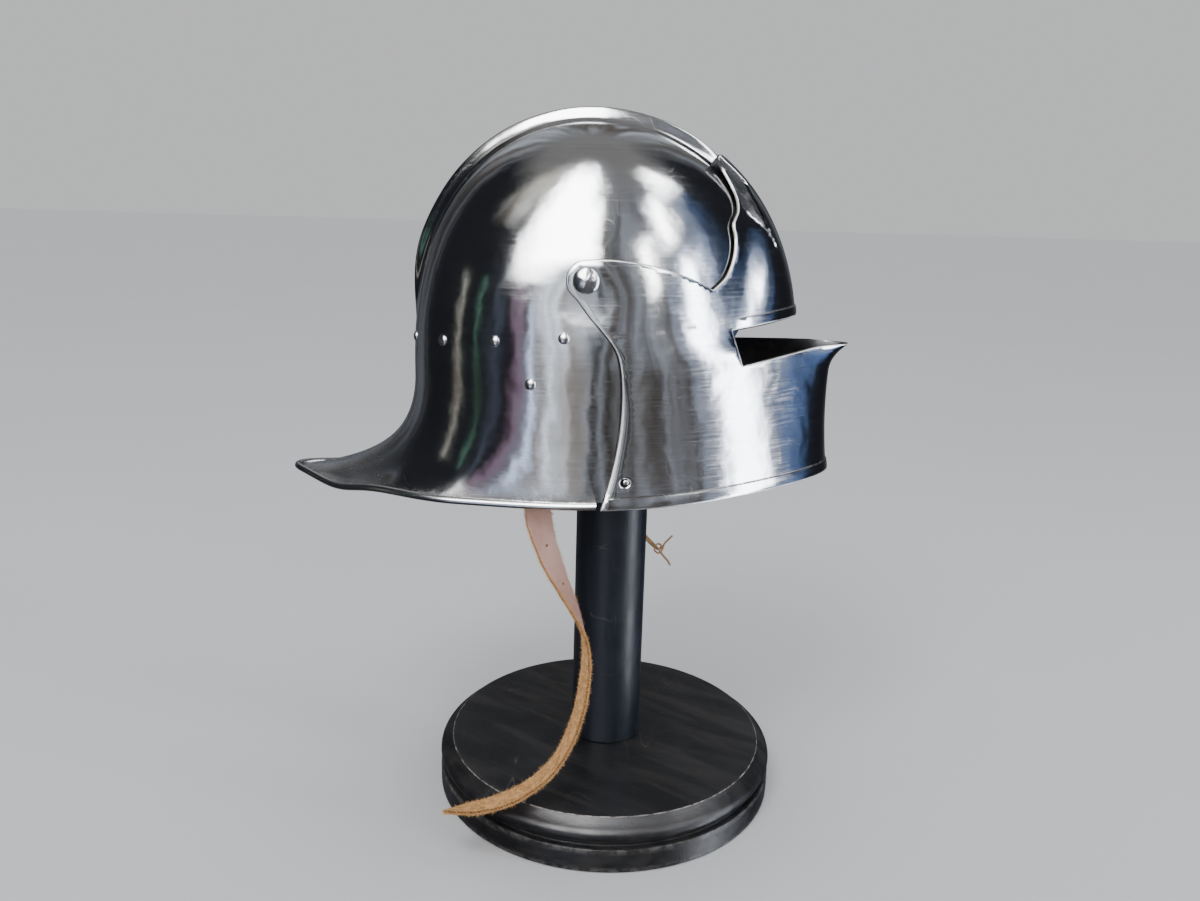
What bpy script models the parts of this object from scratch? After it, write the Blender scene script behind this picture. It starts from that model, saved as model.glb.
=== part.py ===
"""A steel sallet with a pivoted visor, standing on a plain turned wooden stand.

Metres, +Z up, +X towards the face opening, -Y the wearer's right side.
The origin is the centre of the stand's flat underside.
"""
import math

import bpy
import bmesh
import numpy as np
from mathutils import Matrix, Vector
from mathutils.geometry import delaunay_2d_cdt

# Stand
PLINTH_R = 0.1365
PLINTH_H = 0.0190
GROOVE_R = 0.1310
TORUS_R = 0.1365
TORUS_Z = 0.0285
TORUS_HALF_H = 0.0065
DISC_R = 0.1270
BASE_H = 0.0400
POST_R = 0.0280
POST_TOP_Z = 0.5190
POST_TOP_ROUND = 0.0200

# Skull: a dome over a level ellipse, then a flare down to the rim
MID_X = -0.0200
EQUATOR_Z = 0.3400
DOME_H = 0.1855
DOME_POWER = 2.5
DOME_EASE = 1.25
EQUATOR_HALF_L = 0.13975
EQUATOR_SHIFT = 0.00675
EQUATOR_HALF_W = 0.1085
EQUATOR_V = 0.62
FRONT_PINCH = 0.60
FRONT_PINCH_POWER = 2.4
RIM_HALF_L = 0.18775
RIM_SHIFT = -0.03775
RIM_HALF_W = 0.1126
RIM_Z = 0.2673
RIM_SLOPE = 0.028
SEAM_POWER = 4
FLARE_SIDE_Z = 0.3020
FLARE_TAIL_Z = 0.2706
TIP_PINCH = 0.66
TIP_PINCH_FROM = 0.45
TIP_PINCH_POWER = 2.0
FLANK_EASE = 0.03
TAIL_DIP = 0.0070
TAIL_DIP_X = -0.2050
TAIL_DIP_W = 0.0280
WALL = 0.0020
SKULL_RIBS_BACK = 22
SKULL_RIBS_FRONT = 13
SKULL_COLUMNS = 12

# Rolled rim
ROLL_R = 0.0026
ROLL_OUT = 0.0006
ROLL_END_X = -0.0125
ROLL_STEPS = 6
SEAM_UP_SIDE = 0.0051
SEAM_UP_TAIL = 0.0020

# Comb
COMB_H = 0.0098
COMB_PROFILE = (
    # sideways, outer height share, inner height
    (0.0000, 1.00, 0.0040),
    (0.0009, 0.96, 0.0034),
    (0.0042, 0.33, 0.0006),
    (0.0075, 0.00, 0.0000),
)
COMB_BACK_FADE = (0.3620, 0.4400)
COMB_FRONT_FADE = (0.4550, 0.5120)

# Face opening of the skull, in the half-disc of its own surface
FACE_RIM_X = 0.0400
FACE_BROW_V = 0.470
FACE_BEND = (0.30, 0.55)

# Visor surface
VISOR_WALL = 0.0018
VISOR_STANDOFF = 0.0032
VISOR_SPACING = 0.0118
FOREHEAD_HALF_L = 0.1560
FOREHEAD_H = 0.1950
FOREHEAD_W_H = 0.1920
BEVOR_HALF_L = 0.1817
BEVOR_BOW = 1.4
BEVOR_BOW_Z = 0.3300
BEVOR_FLARE_W = 0.0041
BEVOR_FLARE_POWER = 2.18
STEP_Z = 0.3790
STEP_HALF_SIDE = 0.0300
STEP_HALF_FRONT = 0.0110
PROW_LOW = 0.43
PROW_LIP = 0.66
PROW_BROW = 0.50
PROW_TOP = 0.10
PROW_POWER = 1.5
LIP_TIP = 0.0130
LIP_TIP_FROM_Z = 0.3480
LIP_TIP_RISE = 0.0220
LIP_TIP_POWER = 2.4
LIP_TIP_W = 0.0140

# Visor outline, side view; the plate is cut on a flat sheet this wide to the radian
FLAT_SCALE = 0.130
PIVOT_X = -0.0230
PIVOT_Z = 0.4200
PIVOT_FLAT_R = 0.0240
PIVOT_FLAT_TILT = 0.173
LOBE_R = 0.0135
LOBE_TURN = (95.0, 232.0)
SIGHT_REAR_LOW = (0.0874, 0.3620)
SIGHT_REAR_HIGH = (0.0795, 0.3850)
SIGHT_LIP_FRONT_Z = 0.3700
SIGHT_LIP_LEVEL_X = 0.1500
SIGHT_BROW_FRONT_Z = 0.3904
BAND_H = 0.0076
BAND_PROUD = 0.0008
HEM_H = 0.0085
HEM_PROUD = 0.0007
OGEE_EDGE = (
    # forward, up: from the top corner down to the notch over the arm
    (0.0690, 0.5055),
    (0.0672, 0.5012),
    (0.0750, 0.4877),
    (0.0808, 0.4758),
    (0.0816, 0.4665),
    (0.0777, 0.4572),
    (0.0796, 0.4460),
    (0.0783, 0.4341),
    (0.0729, 0.4222),
    (0.0632, 0.4140),
)
ARM_TOP = (
    # forward, up: from the notch back to the lobe
    (0.0459, 0.4225),
    (0.0238, 0.4297),
    (0.0005, 0.4335),
    (-0.0112, 0.4342),
)
REAR_EDGE = (
    # forward, up: from the lobe down to the rim
    (-0.0284, 0.4066),
    (-0.0206, 0.3966),
    (-0.0077, 0.3824),
    (-0.0011, 0.3713),
    (0.0019, 0.3546),
    (0.0026, 0.3334),
    (0.0008, 0.3120),
    (-0.0039, 0.2879),
    (-0.0101, 0.2675),
)

# Fastenings
PIVOT_HEAD_R = 0.0087
PIVOT_HEAD_H = 0.0034
PIVOT_SHANK_R = 0.0026
PIVOT_HOLE_R = 0.0030
PIVOT_PEEN_R = 0.0045
PIVOT_PEEN_H = 0.0012
SEAT_GAP = 0.0003
LINING_SEAT_GAP = 0.0005
PIVOT_SEAT_GAP = 0.0006
PIVOT_PEEN_GAP = 0.0022
LINING_HEAD_R = 0.0039
LINING_HEAD_H = 0.0019
LINING_RIVETS = (
    # forward, up
    (-0.1480, 0.3700),
    (-0.1220, 0.3735),
    (-0.0835, 0.3775),
    (-0.0367, 0.3822),
)
STRAP_RIVET = (-0.0585, 0.3505)
CATCH_AT = (0.0065, 0.2863)
CATCH_HOLE_R = 0.0027
CATCH_BORE_R = 0.0022
CATCH_STUD_R = 0.00185
CATCH_PROUD = 0.0006
CATCH_FLANGE_R = 0.0045
CATCH_FLANGE_H = 0.0010
CATCH_FLANGE_GAP = 0.0006
CATCH_TRAVEL = 0.0030

# Straps and lace
STRAP_W = 0.0175
STRAP_T = 0.0026
STRAP_OFF_WALL = 0.0009
STRAP_HOLE_R = 0.0011
RIVET_HOLE_R = 0.0019
RIVET_SHANK_R = 0.0015
RIVET_PEEN_R = 0.0032
RIVET_PEEN_H = 0.0010
NEAR_STRAP = (
    # forward, sideways, up, turn about its own run in degrees
    (-0.0578, -0.0999, 0.3590, -13.0),
    (-0.0575, -0.0999, 0.3505, -13.0),
    (-0.0555, -0.0995, 0.3200, -10.0),
    (-0.0540, -0.0988, 0.2900, -2.0),
    (-0.0527, -0.0985, 0.2607, 10.0),
    (-0.0504, -0.0985, 0.2468, 28.0),
    (-0.0445, -0.0985, 0.2285, 45.0),
    (-0.0365, -0.0985, 0.2100, 64.0),
    (-0.0239, -0.0990, 0.1839, 88.0),
    (-0.0177, -0.1000, 0.1653, 102.0),
    (-0.0164, -0.1020, 0.1428, 108.0),
    (-0.0200, -0.1060, 0.1146, 108.0),
    (-0.0280, -0.1110, 0.0899, 103.0),
    (-0.0405, -0.1150, 0.0692, 97.0),
    (-0.0617, -0.1200, 0.0529, 92.0),
    (-0.0864, -0.1260, 0.0454, 86.0),
    (-0.1150, -0.1320, 0.0436, 62.0),
)
NEAR_STRAP_HOLES = (5.63, 7.15)
FAR_STRAP = (
    # forward, sideways, up, turn about its own run in degrees
    (-0.0578, 0.0999, 0.3590, 13.0),
    (-0.0575, 0.0999, 0.3505, 13.0),
    (-0.0555, 0.0995, 0.3200, 10.0),
    (-0.0480, 0.0975, 0.2850, 6.0),
    (-0.0320, 0.0930, 0.2540, 3.0),
    (-0.0100, 0.0870, 0.2270, 0.0),
    (0.0120, 0.0830, 0.2060, 0.0),
)
FAR_STRAP_HOLE = 5.6
LACE_HOLE_R = 0.0018
LACE_R = 0.0011
LACE = (
    # forward, sideways, up
    (0.0555, 0.0800, 0.1831),
    (0.0520, 0.0795, 0.1795),
    (0.0483, 0.0790, 0.1752),
    (0.0470, 0.0795, 0.1700),
    (0.0441, 0.0800, 0.1664),
    (0.0405, 0.0805, 0.1682),
    (0.0402, 0.0815, 0.1722),
    (0.0432, 0.0825, 0.1742),
    (0.0462, 0.0835, 0.1722),
    (0.0452, 0.0845, 0.1690),
    (0.0420, 0.0850, 0.1690),
    (0.0329, 0.0852, 0.1770),
    (0.0200, 0.0868, 0.1960),
    (0.0105, 0.0886, 0.2080),
    (0.0050, 0.0884, 0.2130),
    (0.0032, 0.0868, 0.2141),
    (0.0032, 0.0845, 0.2141),
    (0.0032, 0.0820, 0.2141),
    (0.0050, 0.0802, 0.2130),
    (0.0110, 0.0792, 0.2060),
    (0.0200, 0.0785, 0.1960),
    (0.0329, 0.0775, 0.1820),
    (0.0420, 0.0762, 0.1730),
    (0.0480, 0.0768, 0.1650),
    (0.0520, 0.0785, 0.1600),
    (0.0545, 0.0800, 0.1553),
)


def smoothstep(value):
    """Rise from 0 to 1 with level ends."""
    value = np.clip(value, 0.0, 1.0)
    return value * value * (3.0 - 2.0 * value)


def smooth_through(rows, steps):
    """Points on a smooth curve through rows, steps to each row."""
    rows = np.array(rows, dtype=float)
    padded = np.vstack((2 * rows[0] - rows[1], rows, 2 * rows[-1] - rows[-2]))
    points = []
    for index in range(len(rows) - 1):
        before, start, end, after = padded[index:index + 4]
        for step in range(steps):
            t = step / steps
            points.append(0.5 * (2 * start + (end - before) * t
                                 + (2 * before - 5 * start + 4 * end - after) * t ** 2
                                 + (3 * start - before - 3 * end + after) * t ** 3))
    points.append(rows[-1])
    return np.array(points)


def run_length(points):
    """Distance along a line of points, from its first."""
    steps = np.linalg.norm(np.diff(points, axis=0), axis=1)
    return np.concatenate(([0.0], np.cumsum(steps)))


def pivot_flat(x, y, z):
    """Sideways shift that eases the plates upright round the pivot."""
    reach = np.hypot(x - PIVOT_X, z - PIVOT_Z) / PIVOT_FLAT_R
    return np.sign(y) * PIVOT_FLAT_TILT * (z - PIVOT_Z) * np.exp(-reach ** 4)


def rim_height(x):
    """Lowest level of the helmet at x, with the dip before the upturned tail tip."""
    dip = TAIL_DIP * np.exp(-((x - TAIL_DIP_X) / TAIL_DIP_W) ** 2)
    return RIM_Z + RIM_SLOPE * x - dip


def skull_point(p, q):
    """Outer skull over a unit disc: p forward, q to the left, radius 1 at the rim."""
    radius = np.hypot(p, q)
    fore = p / np.maximum(radius, 1e-9)
    side = q / np.maximum(radius, 1e-9)
    ahead = np.maximum(fore, 0.0)
    behind = np.maximum(-fore, 0.0)
    share = 1.0 - np.minimum(radius / EQUATOR_V, 1.0)
    angle = 0.5 * math.pi * share ** DOME_EASE
    reach = np.cos(angle)
    rise = np.sin(angle) ** (2.0 / DOME_POWER)
    pinch = 1.0 - FRONT_PINCH * ahead ** FRONT_PINCH_POWER * reach ** 2
    x = reach * EQUATOR_HALF_L * fore + EQUATOR_SHIFT * (reach * fore) ** 2
    y = reach * EQUATOR_HALF_W * side * pinch
    z = EQUATOR_Z + DOME_H * rise
    s = np.maximum(radius - EQUATOR_V, 0.0) / (1.0 - EQUATOR_V)
    tip = np.maximum(behind - TIP_PINCH_FROM, 0.0) / (1.0 - TIP_PINCH_FROM)
    ease = FLANK_EASE * smoothstep(behind / 0.4)
    rim_pinch = pinch * (1.0 - ease - TIP_PINCH * tip ** TIP_PINCH_POWER)
    rim_x = RIM_HALF_L * fore + RIM_SHIFT * fore ** 2
    rim_y = RIM_HALF_W * side * rim_pinch
    seam_up = SEAM_UP_SIDE + (SEAM_UP_TAIL - SEAM_UP_SIDE) * behind ** SEAM_POWER
    rim_z = rim_height(MID_X + rim_x) + seam_up
    bend_z = FLARE_SIDE_Z + (FLARE_TAIL_Z - FLARE_SIDE_Z) * behind ** 2
    keep = 1.0 - s ** 2
    x = MID_X + x * keep + rim_x * s ** 2
    y = y * keep + rim_y * s ** 2
    z = np.where(s > 0.0, (1 - s) ** 2 * EQUATOR_Z + 2 * s * (1 - s) * bend_z + s ** 2 * rim_z, z)
    y = y + pivot_flat(x, y, z)
    return np.stack((x, y, z), axis=-1)


def surface_normal(surface, first, second, step=1e-4):
    """Unit normal of a surface with two parameters."""
    along = surface(first + step, second) - surface(first - step, second)
    across = surface(first, second + step) - surface(first, second - step)
    normal = np.cross(along, across)
    return normal / np.linalg.norm(normal, axis=-1, keepdims=True)


def skull_normal(p, q):
    """Outward unit normal of the skull."""
    return surface_normal(skull_point, p, q)


def skull_at(x, z, side=1.0):
    """Skull point and normal at a place seen from the side."""
    radius = 0.6
    turn = 0.5 * math.pi
    for _ in range(60):
        here = skull_point(radius * math.cos(turn), radius * math.sin(turn))
        miss = np.array((x - here[0], z - here[2]))
        out = radius + 1e-5
        dr = (skull_point(out * math.cos(turn), out * math.sin(turn)) - here)[[0, 2]] / 1e-5
        on = turn + 1e-5
        dt = (skull_point(radius * math.cos(on), radius * math.sin(on)) - here)[[0, 2]] / 1e-5
        move = np.clip(np.linalg.solve(np.stack((dr, dt), axis=1), miss), -0.1, 0.1)
        radius = float(np.clip(radius + move[0], 0.05, 1.0))
        turn = float(np.clip(turn + move[1], 0.05, math.pi - 0.05))
    p = radius * math.cos(turn)
    q = radius * math.sin(turn)
    point = skull_point(p, q)
    normal = skull_normal(p, q)
    flip = np.array((1.0, side, 1.0))
    return Vector(point * flip), Vector(normal * flip)


def skull_edge_path():
    """Rim from the tail tip, then the face opening up to the brow, on the disc."""
    fore = np.linspace(-1.0, 1.0, 4001)
    rim_x = MID_X + RIM_HALF_L * fore + RIM_SHIFT * fore ** 2
    last = float(np.interp(FACE_RIM_X, rim_x, fore))
    turn = np.linspace(0.0, math.acos(-last), 600)
    rim = np.stack((-np.cos(turn), np.sin(turn)), axis=1)
    t = np.linspace(0.0, 1.0, 300)[1:, None]
    bend = np.array(FACE_BEND)
    brow = np.array((FACE_BROW_V, 0.0))
    face = (1 - t) ** 2 * rim[-1] + 2 * t * (1 - t) * bend + t ** 2 * brow
    return np.vstack((rim, face))


def skull_rib_ends(ribs_back, ribs_front):
    """Disc coordinates of each rib's two ends, and which ribs carry the roll."""
    edge = skull_edge_path()
    edge_run = run_length(skull_point(edge[:, 0], edge[:, 1]))
    median_p = np.linspace(-1.0, FACE_BROW_V, 900)
    median_run = run_length(skull_point(median_p, np.zeros_like(median_p)))
    rim_part = edge[:600]
    rim_x = skull_point(rim_part[:, 0], rim_part[:, 1])[:, 0]
    roll_end = float(np.interp(ROLL_END_X, rim_x, edge_run[:600] / edge_run[-1]))
    pair = 0.0001 / edge_run[-1]
    back = np.linspace(0.0, roll_end - pair, ribs_back + 1)
    front = np.linspace(roll_end + pair, 1.0, ribs_front + 1)
    shares = np.concatenate((back, front))
    outer = resample_by(edge, edge_run, shares)
    inner_p = np.interp(shares * median_run[-1], median_run, median_p)
    inner = np.stack((inner_p, np.zeros_like(inner_p)), axis=1)
    return inner, outer, shares < roll_end


def resample_by(points, along, shares):
    """Rows of points at shares of a given run."""
    return np.stack([np.interp(shares * along[-1], along, points[:, axis])
                     for axis in range(points.shape[1])], axis=1)


def comb_height(z, x):
    """Height of the comb over the skull at a place on the median."""
    low, high = COMB_BACK_FADE
    back = smoothstep((z - low) / (high - low))
    low, high = COMB_FRONT_FADE
    front = smoothstep((z - low) / (high - low))
    return COMB_H * np.where(x < MID_X, back, front)


def skull_rib(start, end, columns):
    """Outer and inner points of one rib, from the median to the edge."""
    t = np.linspace(0.0, 1.0, 160)[:, None]
    line = start + (end - start) * t
    run = run_length(skull_point(line[:, 0], line[:, 1]))
    comb_columns = len(COMB_PROFILE)
    wanted = np.array([row[0] for row in COMB_PROFILE])
    shared = run[-1] * np.arange(columns + 1) / columns
    plain = np.linspace(min(wanted[-1], shared[comb_columns - 1]), run[-1],
                        columns + 2 - comb_columns)
    places = np.concatenate((np.minimum(wanted, shared[:comb_columns]), plain[1:]))
    here = np.stack([np.interp(places, run, line[:, axis]) for axis in range(2)], axis=1)
    outer = skull_point(here[:, 0], here[:, 1])
    normal = skull_normal(here[:, 0], here[:, 1])
    inner = outer - normal * WALL
    comb = comb_height(outer[0, 2], outer[0, 0])
    lift = normal[0] * np.array((1.0, 0.0, 1.0))
    shares = np.zeros(columns + 1)
    shares[:comb_columns] = [row[1] for row in COMB_PROFILE]
    hollow = np.zeros(columns + 1)
    hollow[:comb_columns] = [row[2] for row in COMB_PROFILE]
    outer = outer + lift * (comb * shares)[:, None]
    inner = inner + lift * (comb / COMB_H * hollow)[:, None]
    outer[0, 1] = 0.0
    inner[:, 1] = np.maximum(inner[:, 1], 0.0)
    inner[0, 1] = 0.0
    return outer, inner, here[-1], normal[-1]


def rim_roll(seam, place, normal, steps):
    """Points round the rolled rim, from the seam to the inner wall."""
    step = 1e-4
    radial = place / np.linalg.norm(place)
    around = np.array((-radial[1], radial[0]))
    down = skull_point(*(place + radial * step)) - skull_point(*(place - radial * step))
    along = skull_point(*(place + around * step)) - skull_point(*(place - around * step))
    along /= np.linalg.norm(along)
    down -= along * np.dot(down, along)
    down /= np.linalg.norm(down)
    drop = math.sqrt(ROLL_R ** 2 - ROLL_OUT ** 2)
    centre = seam + down * drop + normal * ROLL_OUT
    start = -math.pi + math.acos(ROLL_OUT / ROLL_R)
    points = []
    for turn in np.linspace(start, math.pi, steps + 1)[1:]:
        points.append(centre + ROLL_R * (math.cos(turn) * normal + math.sin(turn) * down))
    return np.array(points)


def skull_grid(ribs_back, ribs_front, columns, roll_steps):
    """Left half of the skull as rows of points: outer, edge and inner."""
    starts, ends, rolled = skull_rib_ends(ribs_back, ribs_front)
    rows = []
    for start, end, has_roll in zip(starts, ends, rolled):
        outer, inner, place, normal = skull_rib(start, end, columns)
        if has_roll:
            edge = rim_roll(outer[-1], place, normal, roll_steps)
        else:
            share = np.linspace(0.0, 1.0, roll_steps + 2)[1:-1, None]
            edge = outer[-1] + (inner[-1] - outer[-1]) * share
        rows.append(np.vstack((outer, edge, inner[::-1])))
    grid = np.array(rows)
    grid[0, :, 1] = 0.0
    grid[-1, :, 1] = 0.0
    return grid


def mesh_from_halves(name, points, faces):
    """Mesh of a left half and its mirror image, joined at the median."""
    mesh = bpy.data.meshes.new(name)
    body = bmesh.new()
    for side in (1.0, -1.0):
        verts = [body.verts.new((x, side * y, z)) for x, y, z in points]
        for face in faces:
            corners = face if side > 0 else face[::-1]
            body.faces.new([verts[index] for index in corners])
    bmesh.ops.remove_doubles(body, verts=body.verts, dist=2e-6)
    bmesh.ops.dissolve_degenerate(body, edges=body.edges, dist=1e-7)
    bmesh.ops.recalc_face_normals(body, faces=body.faces)
    body.to_mesh(mesh)
    body.free()
    return mesh


def grid_faces(rows, columns):
    """Quads of a grid of rows times columns points."""
    faces = []
    for row in range(rows - 1):
        for column in range(columns - 1):
            first = row * columns + column
            faces.append((first, first + 1, first + columns + 1, first + columns))
    return faces


def visor_half_length(u, z):
    """Reach of the visor ahead of the middle at a level."""
    rise = np.clip((z - EQUATOR_Z) / FOREHEAD_H, 0.0, 1.0)
    forehead = FOREHEAD_HALF_L * np.sqrt(np.maximum(1.0 - rise ** DOME_POWER, 1e-6))
    bevor = BEVOR_HALF_L + BEVOR_BOW * (z - BEVOR_BOW_Z) ** 2
    return bevor + (forehead - bevor) * brow_share(u, z)


def brow_share(u, z):
    """0 on the bevor, 1 on the forehead, with a shelf between that narrows forward."""
    half = STEP_HALF_SIDE + (STEP_HALF_FRONT - STEP_HALF_SIDE) * smoothstep(u / 0.6)
    return smoothstep((z - STEP_Z + half) / (2.0 * half))


def visor_point(turn, z):
    """Outer visor surface: turn is 0 at the side and a right angle at the front."""
    u = np.sin(turn)
    width_rise = np.clip((z - EQUATOR_Z) / FOREHEAD_W_H, 0.0, 1.0)
    drop = np.maximum(EQUATOR_Z - z, 0.0) / (EQUATOR_Z - RIM_Z - SEAM_UP_SIDE)
    half_width = ((EQUATOR_HALF_W + VISOR_STANDOFF)
                  * np.sqrt(np.maximum(1.0 - width_rise ** DOME_POWER, 1e-6))
                  + BEVOR_FLARE_W * drop ** BEVOR_FLARE_POWER)
    low = np.clip((z - RIM_Z) / (SIGHT_LIP_FRONT_Z - RIM_Z), 0.0, 1.2)
    bevor_prow = PROW_LOW + (PROW_LIP - PROW_LOW) * low ** PROW_POWER
    rise = np.clip((z - EQUATOR_Z) / FOREHEAD_H, 0.0, 1.0)
    forehead_prow = PROW_TOP + (PROW_BROW - PROW_TOP) * (1.0 - rise ** 2)
    prow = bevor_prow + (forehead_prow - bevor_prow) * brow_share(u, z)
    y = half_width * np.cos(turn) * (1.0 - prow * u ** 2)
    x = MID_X + visor_half_length(u, z) * u
    tip = np.clip((z - LIP_TIP_FROM_Z) / LIP_TIP_RISE, 0.0, 1.0) ** LIP_TIP_POWER
    tip = tip * (z < STEP_Z)
    x = x + LIP_TIP * tip * np.exp(-(y / LIP_TIP_W) ** 2)
    y = y + pivot_flat(x, y, z)
    return np.stack((x, y, z + 0.0 * x), axis=-1)


def visor_normal(turn, z):
    """Outward unit normal of the visor."""
    return -surface_normal(visor_point, turn, z)


def visor_turn(x, z):
    """Turn of the visor place seen from the side at x and z."""
    turn = np.full_like(np.asarray(x, dtype=float), 0.6)
    for _ in range(60):
        here = visor_point(turn, z)[..., 0]
        slope = (visor_point(turn + 1e-5, z)[..., 0] - here) / 1e-5
        turn = np.clip(turn + np.clip((x - here) / np.maximum(slope, 1e-3), -0.2, 0.2),
                       -0.5, 0.5 * math.pi)
    return turn


def lip_height(x):
    """Level of the sight's lower lip at x."""
    rear_x, rear_z = SIGHT_REAR_LOW
    slope = (SIGHT_LIP_FRONT_Z - rear_z) / (SIGHT_LIP_LEVEL_X - rear_x)
    return rear_z + slope * (np.minimum(x, SIGHT_LIP_LEVEL_X) - rear_x)


def brow_height(x):
    """Level of the sight's upper edge at x."""
    rear_x, rear_z = SIGHT_REAR_HIGH
    front_x = MID_X + FOREHEAD_HALF_L - 0.003
    slope = (SIGHT_BROW_FRONT_Z - rear_z) / (front_x - rear_x)
    return rear_z + slope * (x - rear_x)


def level_edge(height, start_x, spacing, lift=0.0):
    """Visor places along an edge whose level follows height, rear to front."""
    start = float(visor_turn(np.array(start_x), height(start_x) + lift))
    turns = np.linspace(start, 0.5 * math.pi, 200)
    z = np.full_like(turns, height(start_x))
    for _ in range(30):
        z = height(visor_point(turns, z + lift)[:, 0])
    places = np.stack((turns, z + lift), axis=1)
    return spaced_places(places, spacing)


def spaced_places(places, spacing):
    """Surface places about spacing apart along a line of them."""
    run = run_length(visor_point(places[:, 0], places[:, 1]))
    count = max(1, int(round(run[-1] / spacing)))
    return resample_by(places, run, np.linspace(0.0, 1.0, count + 1))


def side_edge(rows, spacing):
    """Visor places along a curve drawn in side view."""
    curve = smooth_through(rows, 24)
    places = np.stack((visor_turn(curve[:, 0], curve[:, 1]), curve[:, 1]), axis=1)
    return spaced_places(places, spacing)


def lobe_rows():
    """Side-view points round the back of the pivot lobe, top to bottom."""
    rows = []
    for turn in np.radians(np.linspace(*LOBE_TURN, 13)):
        rows.append((PIVOT_X + LOBE_R * math.cos(turn), PIVOT_Z + LOBE_R * math.sin(turn)))
    return rows


def visor_outline(spacing):
    """Closed line of visor places round the left half of the plate."""
    edge = side_edge(OGEE_EDGE, spacing)
    edge[0] = (0.5 * math.pi, OGEE_EDGE[0][1])
    arm = side_edge((OGEE_EDGE[-1],) + ARM_TOP + (lobe_rows()[0],), spacing)
    lobe = side_edge(lobe_rows(), min(spacing, 0.004))
    rear = side_edge((lobe_rows()[-1],) + REAR_EDGE, spacing)
    hem = level_edge(rim_height, REAR_EDGE[-1][0], spacing)
    hem[0] = rear[-1]
    lip = level_edge(lip_height, SIGHT_REAR_LOW[0], spacing)
    brow = level_edge(brow_height, SIGHT_REAR_HIGH[0], spacing)
    chin = median_places(hem[-1][1], lip[-1][1], spacing)
    slit = side_edge((SIGHT_REAR_LOW, SIGHT_REAR_HIGH), spacing)
    slit[0] = lip[0]
    forehead = median_places(brow[-1][1], OGEE_EDGE[0][1], spacing)
    parts = (edge, arm, lobe, rear, hem, chin, lip[::-1], slit, brow, forehead)
    return np.vstack([part[:-1] for part in parts])


def median_places(low, high, spacing):
    """Visor places up the front ridge, between two levels."""
    z = np.linspace(low, high, 200)
    return spaced_places(np.stack((np.full_like(z, 0.5 * math.pi), z), axis=1), spacing)


def round_places(centre, radius, sides):
    """Visor places round a hole seen from the side."""
    places = []
    for index in range(sides):
        turn = 2.0 * math.pi * index / sides
        x = centre[0] + radius * math.cos(turn)
        z = centre[1] + radius * math.sin(turn)
        places.append((float(visor_turn(np.array(x), z)), z))
    return np.array(places)


def inside(loop, points):
    """Which points lie inside a closed loop."""
    result = np.zeros(len(points), dtype=bool)
    start = loop
    end = np.roll(loop, -1, axis=0)
    for (ax, ay), (bx, by) in zip(start, end):
        crosses = (ay > points[:, 1]) != (by > points[:, 1])
        if ay == by:
            continue
        reach = (bx - ax) * (points[:, 1] - ay) / (by - ay) + ax
        result ^= crosses & (points[:, 0] < reach)
    return result


def clearance(lines, points):
    """Distance from each point to the nearest of the line pieces."""
    nearest = np.full(len(points), np.inf)
    for start, end in lines:
        along = end - start
        share = np.clip(((points - start) @ along) / max(along @ along, 1e-18), 0.0, 1.0)
        gap = np.linalg.norm(points - (start + share[:, None] * along), axis=1)
        nearest = np.minimum(nearest, gap)
    return nearest


def proud(turn, z):
    """How far the brow band and the bottom hem stand out of the plate."""
    x = visor_point(turn, z)[..., 0]
    over_brow = z - brow_height(x)
    band = (over_brow > -1e-4) & (over_brow < BAND_H) & (x > SIGHT_REAR_HIGH[0] - 0.0005)
    over_rim = z - rim_height(x)
    hem = over_rim < HEM_H
    return BAND_PROUD * band + HEM_PROUD * hem


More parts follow.
